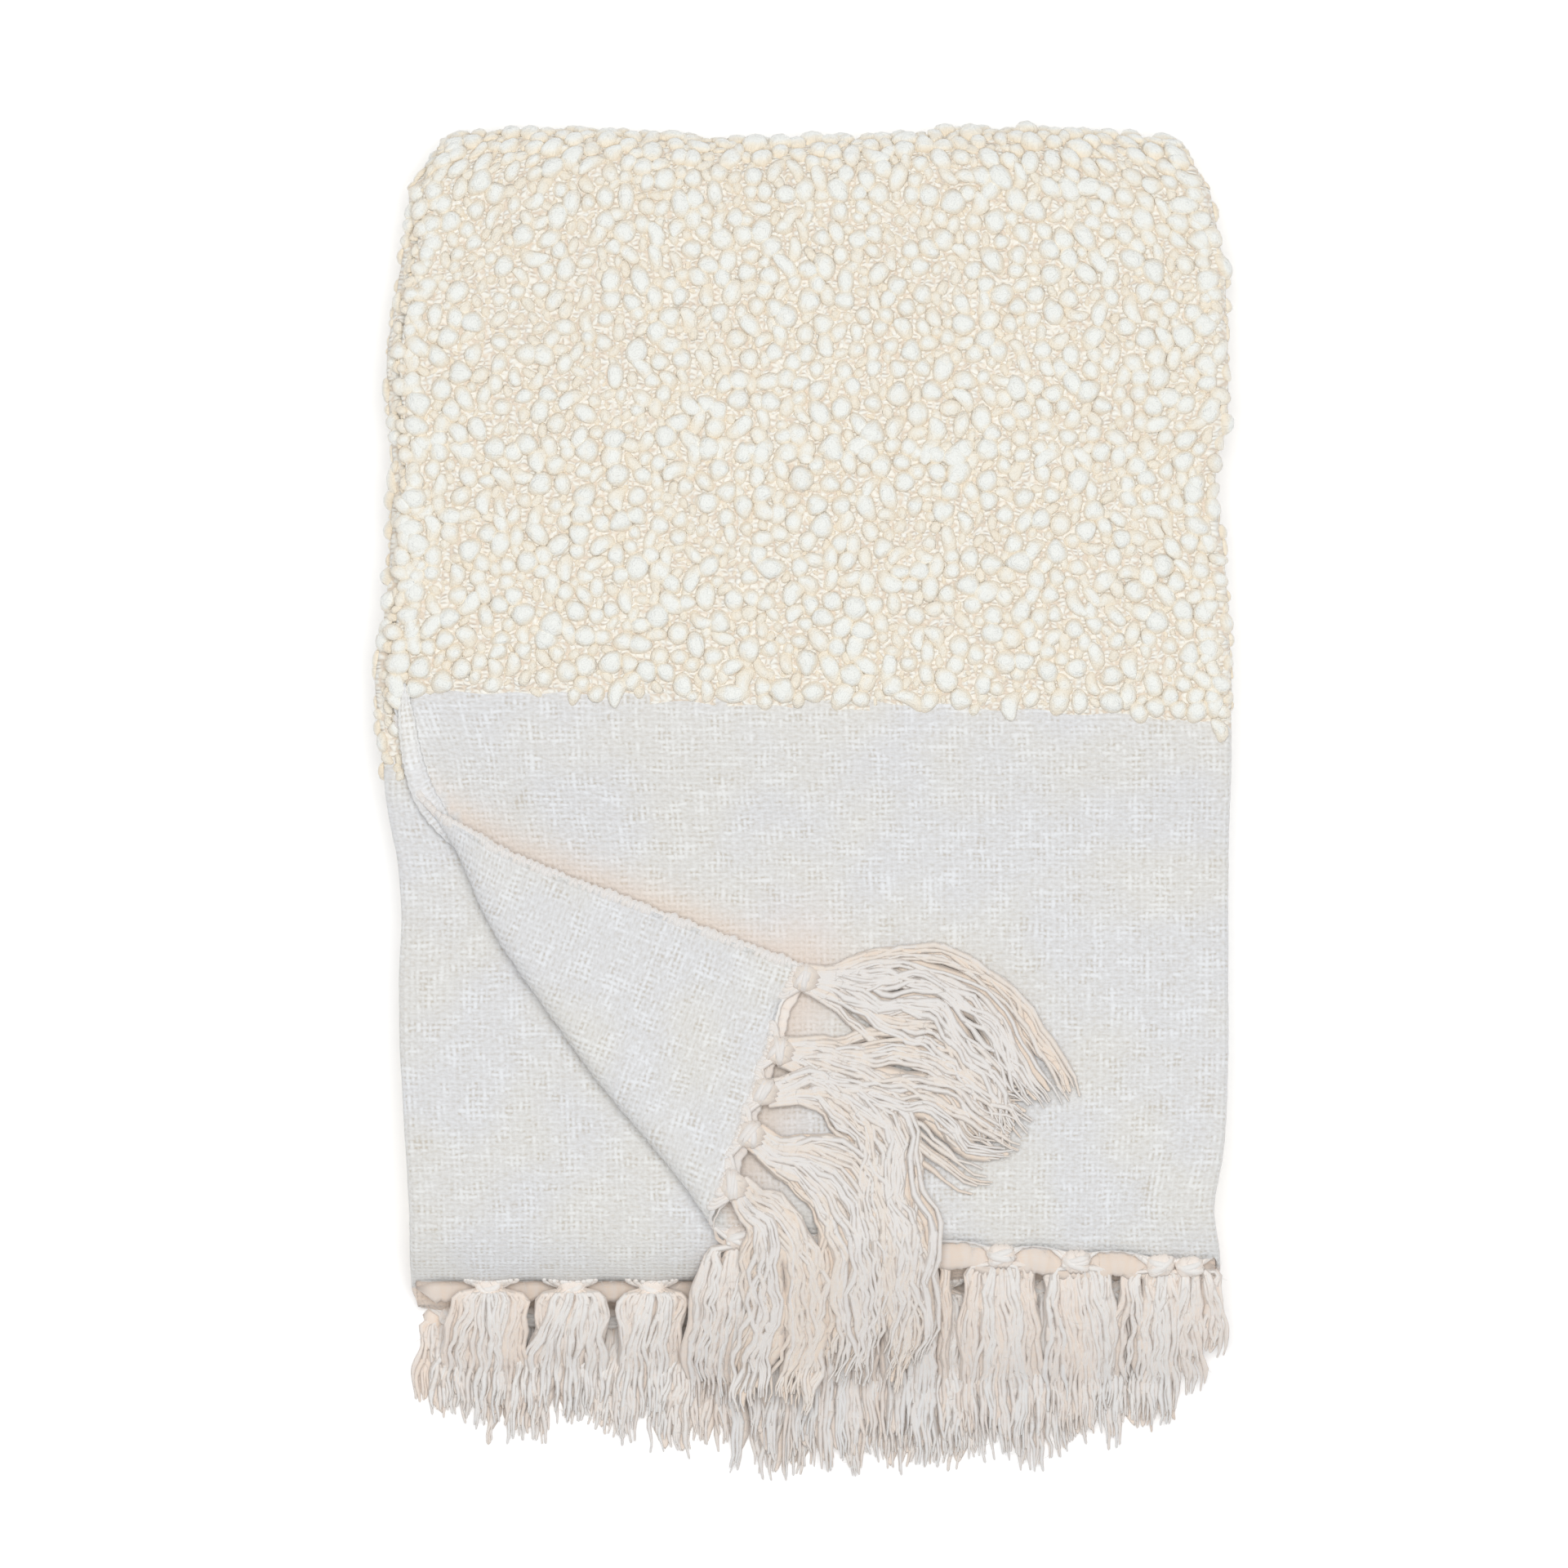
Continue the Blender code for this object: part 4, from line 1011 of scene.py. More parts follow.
@dataclass
class BoucleLoops:
    """The boucle loops of the throw's field, scattered in clusters over every face that shows."""

    seed: int = 11
    seat: float = 0.0010
    cell: float = 0.0165
    thick_patches: Patchwork = field(default_factory=lambda: Patchwork(0.021, 5))
    fine_patches: Patchwork = field(default_factory=lambda: Patchwork(0.0095, 6))
    masters: dict = field(default_factory=dict)
    stages: tuple = (
        # (girth, radius, tries for each place, least cluster, crowding)
        (Girth.BIG, 0.0064, 26.0, 0.24, 0.44), (Girth.SMALL, 0.0040, 12.0, 0.02, 0.46),
        (Girth.SEED, 0.0021, 1.7, -1.0, 0.60))
    table: tuple = (
        # (girth, kind, ring and yarn in millimetres, sweep in degrees, steps, sides)
        (Girth.BIG, LoopKind.BEAN, 14.0, 5.30, 48, 7, 9), (Girth.BIG, LoopKind.BEAN, 15.0, 4.80, 52, 7, 9),
        (Girth.BIG, LoopKind.BEAN, 13.0, 5.80, 50, 7, 9), (Girth.BIG, LoopKind.BEAN, 12.0, 4.90, 50, 7, 9),
        (Girth.BIG, LoopKind.CURL, 6.0, 4.00, 130, 8, 9), (Girth.BIG, LoopKind.ARCH, 7.5, 4.80, 90, 7, 9),
        (Girth.SMALL, LoopKind.BEAN, 8.0, 3.40, 54, 5, 7), (Girth.SMALL, LoopKind.BEAN, 9.0, 3.00, 56, 5, 7),
        (Girth.SMALL, LoopKind.ARCH, 5.2, 3.00, 90, 5, 7), (Girth.SEED, LoopKind.BEAN, 5.0, 1.80, 50, 3, 6),
        (Girth.SEED, LoopKind.BEAN, 6.0, 1.50, 50, 3, 6))

    def model_masters(self) -> None:
        """Model each kind of loop once."""
        for girth, kind, ring, yarn, sweep, steps, sides in self.table:
            master = LoopMaster(kind, ring * MILLIMETRE, yarn * MILLIMETRE, math.radians(sweep), steps, sides)
            master.model()
            self.masters.setdefault(girth, []).append(master)

    def cluster(self, u: float, s: float) -> float:
        """0 in the barer patches to 1 in the thick clusters."""
        value = 0.65 * float(self.thick_patches.at(u, s * 0.8)) + 0.35 * float(self.fine_patches.at(u, s))
        return min(max((value - 0.30) / 0.26, 0.0), 1.0)

    def scatter(self, dice: random.Random, low: tuple, high: tuple, size: float,
                girths: tuple = tuple(Girth)) -> list[tuple]:
        """Places in a field of the flat cloth that keep their distance.

        Args:
            dice: Source of chance.
            low: Least u and s.
            high: Greatest u and s.
            size: Scale of the loops.
            girths: Sizes of loops to use.

        Returns:
            Places as (u, s, girth, scale).
        """
        area = (high[0] - low[0]) * (high[1] - low[1])
        kept: dict[tuple, list] = {}
        places = []
        for girth, radius, tries, least, crowding in self.stages:
            if girth not in girths:
                continue
            for _ in range(int(area / (2.0 * radius * size) ** 2 * tries)):
                u, s = dice.uniform(low[0], high[0]), dice.uniform(low[1], high[1])
                scale = size * dice.uniform(0.80, 1.18)
                if self.cluster(u, s) < least + dice.uniform(-0.22, 0.22):
                    continue
                reach = radius * scale
                row, column = int(u / self.cell), int(s / self.cell)
                near = [other for i in (-1, 0, 1) for j in (-1, 0, 1)
                        for other in kept.get((row + i, column + j), ())]
                if any((u - a) ** 2 + (s - b) ** 2 < (reach + r) ** 2 * crowding for a, b, r in near):
                    continue
                kept.setdefault((row, column), []).append((u, s, reach))
                places.append((u, s, girth, scale))
        return places

    def grow(self, pile: MeshPile, dice: random.Random, places: list[tuple], face: Face) -> None:
        """Put a loop on each place.

        Args:
            pile: Where the loops go.
            dice: Source of chance.
            places: Places as (u, s, girth, scale).
            face: Face of the cloth that carries them.
        """
        if not places:
            return
        table = np.array([place[:2] for place in places])
        here, across, along, out = FOLD.frame_at(table[:, 0], table[:, 1], np.float64(face * self.seat))
        out = out * face
        for index, (_, _, girth, scale) in enumerate(places):
            master = dice.choice(self.masters[girth])
            turn = math.pi / 2 + dice.gauss(0.0, 0.75) + math.pi * dice.randint(0, 1)
            stretch = dice.uniform(0.90, 1.14)
            size = np.array((scale * stretch, scale / stretch, scale * dice.uniform(0.85, 1.12)))
            x, y, z = self.crumple(master.verts * size, dice).T
            y = y + z * dice.uniform(-0.22, 0.22)
            a, b = x * math.cos(turn) - y * math.sin(turn), x * math.sin(turn) + y * math.cos(turn)
            placed = (here[index] + a[:, None] * across[index] + b[:, None] * along[index]
                      + z[:, None] * out[index])
            placed[:, 2] = np.maximum(placed[:, 2], 2.0 * FLOOR_GAP)
            # Painted shade and light: the tone follows height in the loop, from shade at its base to light at
            # its top.
            top = 0.45 * z.max() + 0.0022
            tone = np.clip((z - 0.15 * top) / (0.85 * top), 0.0, 1.0) ** 2.0 * 0.86
            coords = np.stack((x, y), -1) + dice.random()
            pile.add(placed, master.faces, coords, tone, dice.uniform(-1.0, 1.0))

    @staticmethod
    def crumple(verts: Array, dice: random.Random) -> Array:
        """Make one loop uneven: thicker at one end, dented and bent."""
        reach = max(float(np.abs(verts[:, :2]).max()), 1e-6)
        a, b = verts[:, 0] / reach, verts[:, 1] / reach
        taper = 1.0 + dice.uniform(-0.15, 0.15) * a + dice.uniform(-0.09, 0.09) * b
        dent = 1.0 + 0.04 * np.sin(3.0 * a + dice.uniform(0, FULL_TURN))
        dent = dent + 0.04 * np.sin(3.6 * b + dice.uniform(0, FULL_TURN))
        bend = dice.uniform(-0.15, 0.15) * reach * a * a
        return verts * np.stack((dent, taper * dent, 0.5 + 0.5 * taper), -1) + bend[:, None] * (0.0, 1.0, 0.0)

    def make(self, material: bpy.types.Material) -> list[bpy.types.Object]:
        """Grow all the loops.

        Args:
            material: Their finish.

        Returns:
            The finished objects.
        """
        self.model_masters()
        dice = random.Random(self.seed)
        border, floor, width, reach = FOLD.plain_border, FOLD.path.floor_start, FOLD.width, 0.011
        near, far = border - 0.002, floor - 0.006
        middle = (near + FOLD.path.top_end) / 2
        made = []
        for name, low, high in (("near", near, middle), ("far", middle, far)):
            pile = MeshPile()
            places = self.scatter(dice, (0.003, low), (FOLD.spans[0][1] - 0.004, high), 1.0)
            places = [place for place in places if place[1] + border_shift(place[0]) > border + 0.001]
            self.grow(pile, dice, places, Face.RIGHT)
            made.append(pile.make(f"boucle_loops_{name}", material))
        strips = {
            # (from u, to u, layers above, face, scale)
            "folds": ((FOLD.first_fold - reach, FOLD.first_fold + reach, 0.5, Face.RIGHT, 0.85),
                      (FOLD.second_fold - reach, FOLD.second_fold + reach, 1.5, Face.WRONG, 0.85)),
            "edges": ((-0.001, 0.008, 0, Face.RIGHT, 0.85), (-0.001, 0.008, 0, Face.WRONG, 0.70),
                      (width - 0.008, width + 0.001, 2, Face.RIGHT, 0.85),
                      (width - 0.008, width + 0.001, 2, Face.WRONG, 0.70))}
        for name, rows in strips.items():
            pile = MeshPile()
            for a, b, above, face, size in rows:
                low, high = border - FOLD.lag * above, FOLD.far_border + FOLD.lag * above
                places = self.scatter(dice, (a, low + 0.004), (b, floor), size, (Girth.BIG, Girth.SMALL))
                places += self.scatter(dice, (a, floor), (b, high), 1.10, (Girth.SMALL,))
                self.grow(pile, dice, places, face)
            made.append(pile.make(f"boucle_loops_{name}", material))
        return made


@dataclass
class WeftTurns:
    """Where the weft turns back along the selvedge of the turned corner: one small loop after the other."""

    pitch: float = 0.0036
    reach: float = 0.0017
    girth: float = 0.0015
    seed: int = 31

    def make(self, material: bpy.types.Material) -> bpy.types.Object:
        """Add the loops along the selvedge."""
        dice = random.Random(self.seed)
        pile = MeshPile()
        turn = np.linspace(-0.5, 0.5, 7) * np.pi
        for place in np.arange(0.010, FOLD.plain_border, self.pitch):
            reach = self.reach * dice.uniform(0.5, 1.3)
            u = 0.0022 - (0.0022 + reach) * np.cos(turn)
            s = place + np.sin(turn) * self.pitch * 0.42 + dice.uniform(-0.0004, 0.0004)
            path = FOLD.place(u, s, dice.uniform(-0.0003, 0.0003))
            pile.tube(path, self.girth * dice.uniform(0.8, 1.25), 6, 0.9, dice.uniform(-1.0, 1.0))
        return pile.make("selvedge_turns", material)


@dataclass
class SelvedgeRoll:
    """The soft roll of the selvedge where the turned corner begins, up to the boucle field."""

    sides: int = 14
    flatness: float = 0.46
    line: tuple = (  # (x, y, radius)
        (-0.2066, 0.289, 0.0008), (-0.2064, 0.282, 0.0026), (-0.2056, 0.271, 0.0045),
        (-0.2036, 0.256, 0.0052), (-0.2006, 0.243, 0.0058), (-0.1966, 0.232, 0.0062),
        (-0.1912, 0.223, 0.0060), (-0.1850, 0.214, 0.0045), (-0.1785, 0.206, 0.0026),
        (-0.1720, 0.199, 0.0012))

    def make(self, material: bpy.types.Material) -> bpy.types.Object:
        """Lay the roll along its line, sunk a little into the cloth."""
        points = np.array(self.line)
        line = smooth_curve([2 * points[0] - points[1], *points, 2 * points[-1] - points[-2]], 0.0018)
        level = FOLD.path.frames(FOLD.path.top_at(line[:, 1]))[0][:, 2] + 0.0006
        path = np.stack((line[:, 0], line[:, 1], level + line[:, 2] * 0.08), -1) + SHIFT
        turn = 2 * np.pi * np.arange(self.sides) / self.sides - np.pi / 2
        ripple = 1.0 + 0.05 * np.sin(np.arange(len(path)) * 1.9)
        verts, _ = tube_rings(path, line[:, 2] * ripple, turn, self.flatness)
        coords = np.stack((np.tile(turn * 0.005, len(path)), np.repeat(run_length(path), self.sides)), -1)
        pile = MeshPile()
        pile.add(np.concatenate((verts, path[[0, -1]])), tube_faces(len(path), self.sides),
                 np.concatenate((coords, coords[[0, -1]])), np.zeros(len(verts) + 2), 0.0)
        return pile.make("selvedge_roll", material)


@dataclass(frozen=True)
class Lock:
    """A few yarns of a tassel that lie together: where it lies, and the waves that its yarns share."""

    lateral: float
    stack: float
    reach: float
    drift: float
    swing: tuple
    crimp: tuple

    @classmethod
    def draw(cls, dice: random.Random, place: float, locks: int, swing: float, crimp: float) -> "Lock":
        """Draw a lock.

        Args:
            dice: Source of chance.
            place: Its number among the tassel's locks, from one side.
            locks: How many locks the tassel has.
            swing: Greatest width of its long waves.
            crimp: Greatest width of its short waves.

        Returns:
            The lock, with each wave as (width, length, phase).
        """
        return cls(2.0 * (place + dice.uniform(0.25, 0.75)) / locks - 1.0, dice.random(),
                   dice.uniform(-1.0, 1.0), dice.uniform(-1.0, 1.0),
                   (swing * dice.uniform(0.3, 1.0), dice.uniform(0.0060, 0.0110),
                    dice.uniform(0.0, FULL_TURN)),
                   (crimp * dice.uniform(0.4, 1.0), dice.uniform(0.0024, 0.0040),
                    dice.uniform(0.0, FULL_TURN)))

    def swung(self, length: Array) -> Array:
        """How far the lock swings to its side at distances along it."""
        return self.swing[0] * np.sin(length / self.swing[1] + self.swing[2])


@dataclass(frozen=True)
class Strand:
    """One yarn of a lock, or the lock's shade core, a painted shade under its yarns, with its own draws."""

    lock: Lock
    shade_core: bool
    stack: float
    own: float
    reach: float
    stray: float

    def crown(self, sides: float, base: float) -> float:
        """How high the strand lies in its tassel, less at the sides and under other strands."""
        return ((1.0 - sides * self.lock.lateral ** 2) * (base + (1.0 - base) * self.stack)
                * (1.0 - 0.12 * self.own * self.own))


@dataclass
class Fringe:
    """The knotted tassels of both hems, each of many soft yarns."""

    yarn_radius: float = 0.00125
    slope: float = 0.72
    knot_length: float = 0.0070
    knot_width: float = 1.25
    fan: float = 0.0185
    lock_yarns: int = 5
    fullness: float = 1.12
    points: int = 18
    sides: int = 4
    hairs: int = 3
    hair_radius: float = 0.00009
    hem_step: float = 0.0024
    turned_band: float = 0.42
    far_tassels: int = 28
    far_spread: float = 0.196
    seed: int = 23
    fuzz: MeshPile = field(default_factory=MeshPile)
    pile: MeshPile = field(default_factory=MeshPile)
    layer_tops: list = field(default_factory=list)

    def __post_init__(self) -> None:
        """Set up the chance, and measure how high each layer stands in front of the foot."""
        self.dice = random.Random(self.seed)
        for layer in Layer:
            u = sum(FOLD.spans[layer]) / 2
            upper = -1.0 if layer is Layer.MIDDLE else 1.0
            s = np.arange(float(FOLD.near_hem(np.float64(u))), 0.080, 0.002)
            self.layer_tops.append(FOLD.place(u, s, upper * FOLD.thickness(layer, s) / 2)[:, 1:])

    def resting(self, layer: Layer, y: Array) -> Array:
        """Height at which yarns of a layer's tassels lie on what is below them."""
        height = np.zeros_like(y)
        for tops in self.layer_tops[layer + 1:]:
            drop = tops[None, :, 1] + 0.0006 - self.slope * np.abs(tops[None, :, 0] - y[:, None])
            height = np.maximum(height, drop.max(axis=1))
        return height

    def panel_height(self, x: Array, y: Array) -> Array:
        """Height of the top panel, or of the tassels beyond its hem."""
        drawn = y - SHIFT[1]
        s = FOLD.path.top_at(drawn)
        height = FOLD.path.frames(s)[0][:, 2] + FOLD.wave(x, drawn, s)[:, 2]
        over = (self.resting(Layer.UPPER, y) + 0.0095) * ease((0.020 - drawn) / 0.030)
        return np.maximum(height + 0.0045 * ease((0.022 - drawn) / 0.016), over)

    @staticmethod
    def knot_frame(u: float, near: bool = True) -> tuple[Array, Array, Array]:
        """Seat of a knot on a hem, the way out of the cloth and across it."""
        hem = float(FOLD.near_hem(np.float64(u)) if near else FOLD.far_hem(np.float64(u)))
        seat, inside = FOLD.place(u, np.array((hem, hem + (0.004 if near else -0.004))))
        outward = unit(seat - inside)
        return seat, outward, unit(np.array((outward[1], -outward[0], 0.0)))

    def tie_knot(self, seat: Array, outward: Array, across: Array) -> None:
        """Add the knot's wraps: yarns that wind round the gathered warp, and a small lump under them."""
        up = np.cross(across, outward)
        centre = seat + outward * (0.0046 + self.dice.uniform(-0.0008, 0.0008)) + up * 0.0012
        turn = np.linspace(0.0, 2 * np.pi, 13)
        for wrap, wider in enumerate((0.0, 0.0008, 0.0003)):
            tilt = self.dice.choice((-1, 1)) * self.dice.uniform(0.10, 0.60)
            along = outward * ((wrap - 1.0) * 0.0018 + self.dice.uniform(-0.0006, 0.0006))
            radius = 0.0040 + wider + self.dice.uniform(-0.0005, 0.0005)
            ring = (centre + along + across * (np.cos(turn) * radius * self.knot_width)[:, None]
                    + up * (np.sin(turn) * radius * 0.86)[:, None]
                    + outward * (np.cos(turn) * radius * tilt)[:, None])
            girth = 0.0018 * (1.0 + 0.15 * np.sin(2.0 * turn + self.dice.uniform(0.0, FULL_TURN)))
            # Painted shade: each wrap is lighter on its upper side and darker underneath.
            tone = np.clip(0.58 + 0.3 * np.sin(turn), 0.1, 1.0)
            self.pile.tube(ring, girth, 6, tone, self.dice.uniform(-0.5, 0.5))
            for _ in range(9):
                self.hair(ring[self.dice.randrange(1, 12)], 0.9)
        core = centre + outward * np.linspace(-0.0042, 0.0042, 5)[:, None]
        girth = np.array((0.0026, 0.0040, 0.0046, 0.0042, 0.0034))
        for shift in (-0.0026, 0.0, 0.0026):
            self.pile.tube(core + across * shift, girth, 7, 0.5, 0.0)

    def roll_hem(self, layer: Layer) -> None:
        """Add the soft last wefts along one layer's hem, a band of painted warm shade under them and a few
        short fibres.
        """
        start, end = FOLD.spans[layer]
        u = np.arange(start + 0.0015, end - 0.0010, self.hem_step)
        hem = near_hem(u)
        side = 0.0001 if layer is Layer.MIDDLE else -0.0001
        path = FOLD.place(u, hem - 0.0004 + self.draws(-0.0005, 0.0005, u), side)
        path[:, 2] = np.maximum(path[:, 2], 0.0014)
        self.pile.tube(path, self.draws(0.0009, 0.0014, u), 5, 0.9, self.dice.uniform(-1.0, 1.0))
        turned = (u < FOLD.crease_end[0]) & (layer is Layer.UPPER)
        shrink = np.where(turned, self.turned_band, 1.0)
        ahead = unit(FOLD.place(u, hem) - FOLD.place(u, hem + 0.004))
        # Painted shade: a flat peach-toned band below the hem stands in for the warm shade under it.
        under = path + ahead * (0.0068 * shrink)[:, None] - np.array((0.0, 0.0, 0.0030))
        after = path[-1:, :2] * 2.0 - path[-2:-1, :2]
        stride = np.linalg.norm(np.diff(path[:, :2], axis=0, append=after), axis=1)
        around = np.array([stride[max(at - 4, 0):at + 5].min() for at in range(len(u))])
        pinch = np.clip((around / self.hem_step - 0.55) / 0.35, 0.12, 1.0)
        girth = self.draws(0.0068, 0.0092, u) * pinch * shrink
        under[:, 2] = np.maximum(under[:, 2], girth * 0.3 + 0.0002)
        tone = self.draws(0.05, 0.30, u) + 0.4 * turned
        self.pile.tube(under[2:-3], girth[2:-3], 8, tone[2:-3], 0.0, 0.30)
        for place in path[1:-1]:
            self.hair(place, 0.9)

    def draws(self, low: float, high: float, places: Array) -> Array:
        """One number for each of the places."""
        return np.array([self.dice.uniform(low, high) for _ in places])

    def gather_warp(self, u: float, seat: Array, outward: Array) -> None:
        """Add the warp ends that run from the hem on both sides into a knot."""
        for place in np.linspace(-0.013, 0.013, 15):
            start = float(np.clip(u + place + self.dice.uniform(-0.001, 0.001), 0.0015, FOLD.width - 0.0015))
            hem = float(near_hem(start))
            off = self.dice.uniform(-0.0012, -0.0004)
            inside, edge = FOLD.place(start, np.array((hem + 0.0022, hem)), off)
            end = seat + outward * self.dice.uniform(0.0030, 0.0070) + (edge - seat) * 0.42
            path = smooth_curve([inside - (edge - inside), inside, edge, end, end + (end - edge)], 0.0016)
            girth = self.yarn_radius * self.dice.uniform(0.90, 1.25)
            self.pile.tube(path, girth, 5, 0.75, self.dice.uniform(-1.0, 1.0))

    def hair(self, root: Array, tone: float) -> None:
        """Add one fine loose fibre that leaves a yarn."""
        turn = self.dice.uniform(0.0, 2.0 * math.pi)
        way = np.array((math.cos(turn), math.sin(turn), self.dice.uniform(0.1, 0.7)))
        bend = np.array((self.dice.uniform(-1, 1), self.dice.uniform(-1, 1), self.dice.uniform(-0.9, 0.2)))
        reach = self.dice.uniform(0.0025, 0.0065)
        path = root + way * (np.array((0.0, 0.5, 1.0)) * reach)[:, None]
        path = path + bend * (np.array((0.0, 0.12, 0.5)) * reach)[:, None]
        path[:, 2] = np.maximum(path[:, 2], 0.0003)
        self.fuzz.tube(path, self.hair_radius * np.array((1.2, 1.0, 0.5)), 3, tone, 0.0)

    def shade_core(self, path: Array, side: Array, lock: Lock, share: Array) -> None:
        """Add a lock's shade core: a soft peach-toned tube under its yarns, which paints the warm shade
        between them.
        """
        length = run_length(path)
        path = path + side * (lock.swung(length) * ease(length / 0.030))[:, None]
        girth = (0.0024 + 0.0034 * ease(share * 3.0)) * (1.0 - 0.85 * ease((share - 0.80) / 0.19))
        girth = girth * (1.0 - 0.5 * lock.lateral ** 2)
        path[:, 2] = np.maximum(path[:, 2] - girth * 0.30 + 0.0004, girth * 0.30 + FLOOR_GAP)
        keep = share < 0.97
        self.pile.tube(path[keep], girth[keep], 6, 0.30, 0.0, 0.30)

    def yarn(self, path: Array, side: Array, tone: float, lock: Lock) -> None:
        """Add one yarn along a path, with its kinks, soft thickening and thinner tip.

        Args:
            path: The points of its middle.
            side: The way across the path at each point.
            tone: Its tone.
            lock: The lock that it belongs to.
        """
        count = len(path)
        length = run_length(path)
        loose = ease(length / 0.030)
        crimp = lock.crimp[0] * self.dice.uniform(0.6, 1.2)
        short_wave = crimp * np.sin(length / lock.crimp[1] + lock.crimp[2] + self.dice.uniform(-0.5, 0.5))
        rise = self.dice.uniform(0.0002, 0.0009) * (1.0 + np.sin(length / self.dice.uniform(0.003, 0.006)
                                                            + self.dice.uniform(0.0, FULL_TURN)))
        path = path + side * ((lock.swung(length) + short_wave) * loose)[:, None]
        path[:, 2] += rise * loose
        girth = self.yarn_radius * self.dice.uniform(0.78, 1.25)
        girth = girth * (1.0 + 0.18 * np.sin(length / 0.0031 + self.dice.random()))
        girth = girth * (1.0 - 0.60 * ease((np.arange(count) / (count - 1) - 0.84) / 0.16))
        path[:, 2] = np.maximum(path[:, 2], girth + FLOOR_GAP)
        self.pile.tube(path, girth, self.sides, tone, self.dice.uniform(-1.0, 1.0), 0.65)
        for _ in range(self.hairs):
            self.hair(path[self.dice.randrange(1, count - 1)], tone)

    def strands(self, yarns: int, waves: tuple, reach: float, stray: float) -> Iterator[Strand]:
        """Draw the strands of a tassel, lock by lock, each lock's shade core first.

        Args:
            yarns: How many yarns the tassel has before its fullness.
            waves: Greatest widths of the long and of the short waves.
            reach: Greatest difference in length.
            stray: How far a yarn strays to the side.

        Yields:
            The strands.
        """
        locks = math.ceil(yarns * self.fullness / self.lock_yarns)
        for number in range(locks):
            lock = Lock.draw(self.dice, number, locks, *waves)
            yield Strand(lock, True, 0.0, 0.0, self.dice.uniform(-reach, reach), 0.0)
            for member in range(self.lock_yarns):
                stack = min(max(lock.stack + self.dice.uniform(-0.3, 0.3), 0.0), 1.0)
                own = (member + self.dice.uniform(0.1, 0.9)) / self.lock_yarns * 2.0 - 1.0
                yield Strand(lock, False, stack, own, self.dice.uniform(-reach, reach),
                             self.dice.uniform(-stray, stray))

    def add_strand(self, strand: Strand, path: Array, side: Array, share: Array, dim: tuple) -> None:
        """Add a strand along its path.

        Args:
            strand: The yarn or heart.
            path: The points of its middle.
            side: The way across the path at each point.
            share: How far along the tassel each point is.
            dim: How much painted shade darkens yarns at the sides of the tassel and under others.
        """
        lock = strand.lock
        # A shade core paints the warm shade under the lock's yarns.
        if strand.shade_core:
            self.shade_core(path, side, lock, share)
            return
        # Painted shade: the tone drops for yarns at the tassel's sides and low in the stack.
        tone = 1.04 - dim[0] * abs(lock.lateral) ** 1.5 - dim[1] * (1.0 - strand.stack)
        tone = float(np.clip(tone - 0.15 * strand.own * strand.own, 0.0, 1.0))
        self.yarn(path, side, tone, lock)

    def tie(self, u: float) -> tuple[Array, Array, Array]:
        """Add a near knot with its gathered warp, and return where its yarns start, out and across."""
        seat, outward, across = self.knot_frame(u)
        self.gather_warp(u, seat, outward)
        self.tie_knot(seat, outward, across)
        return seat + outward * self.knot_length, outward, across

    def hang(self, tassel: HangingTassel) -> None:
        """Add a tassel that hangs over the foot and lies out on the floor."""
        start, outward, across = self.tie(tassel.u)
        tip_y = tassel.tip_y + SHIFT[1]
        share = (np.arange(self.points + 1) + 0.2) / (self.points + 0.2)
        side = np.tile((1.0, 0.0, 0.0), (len(share), 1))
        for strand in self.strands(tassel.yarns, (0.0017, 0.0009), 0.005, 0.0045):
            lock, own = strand.lock, strand.own
            tip = tip_y + lock.reach * 0.011 + strand.reach + 0.006 * abs(lock.lateral)
            y = start[1] + (tip - start[1]) * share ** 1.12
            spread = 0.0100 + (self.fan - 0.0100) * ease(share * 7.0 + 0.15)
            own_spread = 0.0010 + 0.0022 * ease(share * 3.0) + 0.0010 * ease(share * 2.0 - 1.0)
            fan = lock.lateral * spread + own * own_spread + lock.drift * 0.006 * ease(share * 1.5)
            fan = fan + strand.stray * ease(share * 1.4 - 0.2)
            x = start[0] + (tassel.tip_x - start[0]) * ease(share * 1.15) + fan
            belly = 0.0034 * np.sin(np.pi * np.clip(share * 1.4, 0.0, 1.0))
            z = self.resting(tassel.layer, y) + self.yarn_radius
            z = z + (2 - tassel.layer) * 0.0022 * ease(share * 3.0)
            z = z + strand.crown(0.6, 0.88) * (0.0030 + belly) - 0.0009 * (1.0 - strand.stack)
            path = np.stack((x, y, z), -1)
            path[0] = (start + across * ((lock.lateral + 0.2 * own) * 0.0062)
                       + np.cross(across, outward) * (strand.stack - 0.3) * 0.005)
            self.add_strand(strand, path, side, share, (0.30, 0.45))

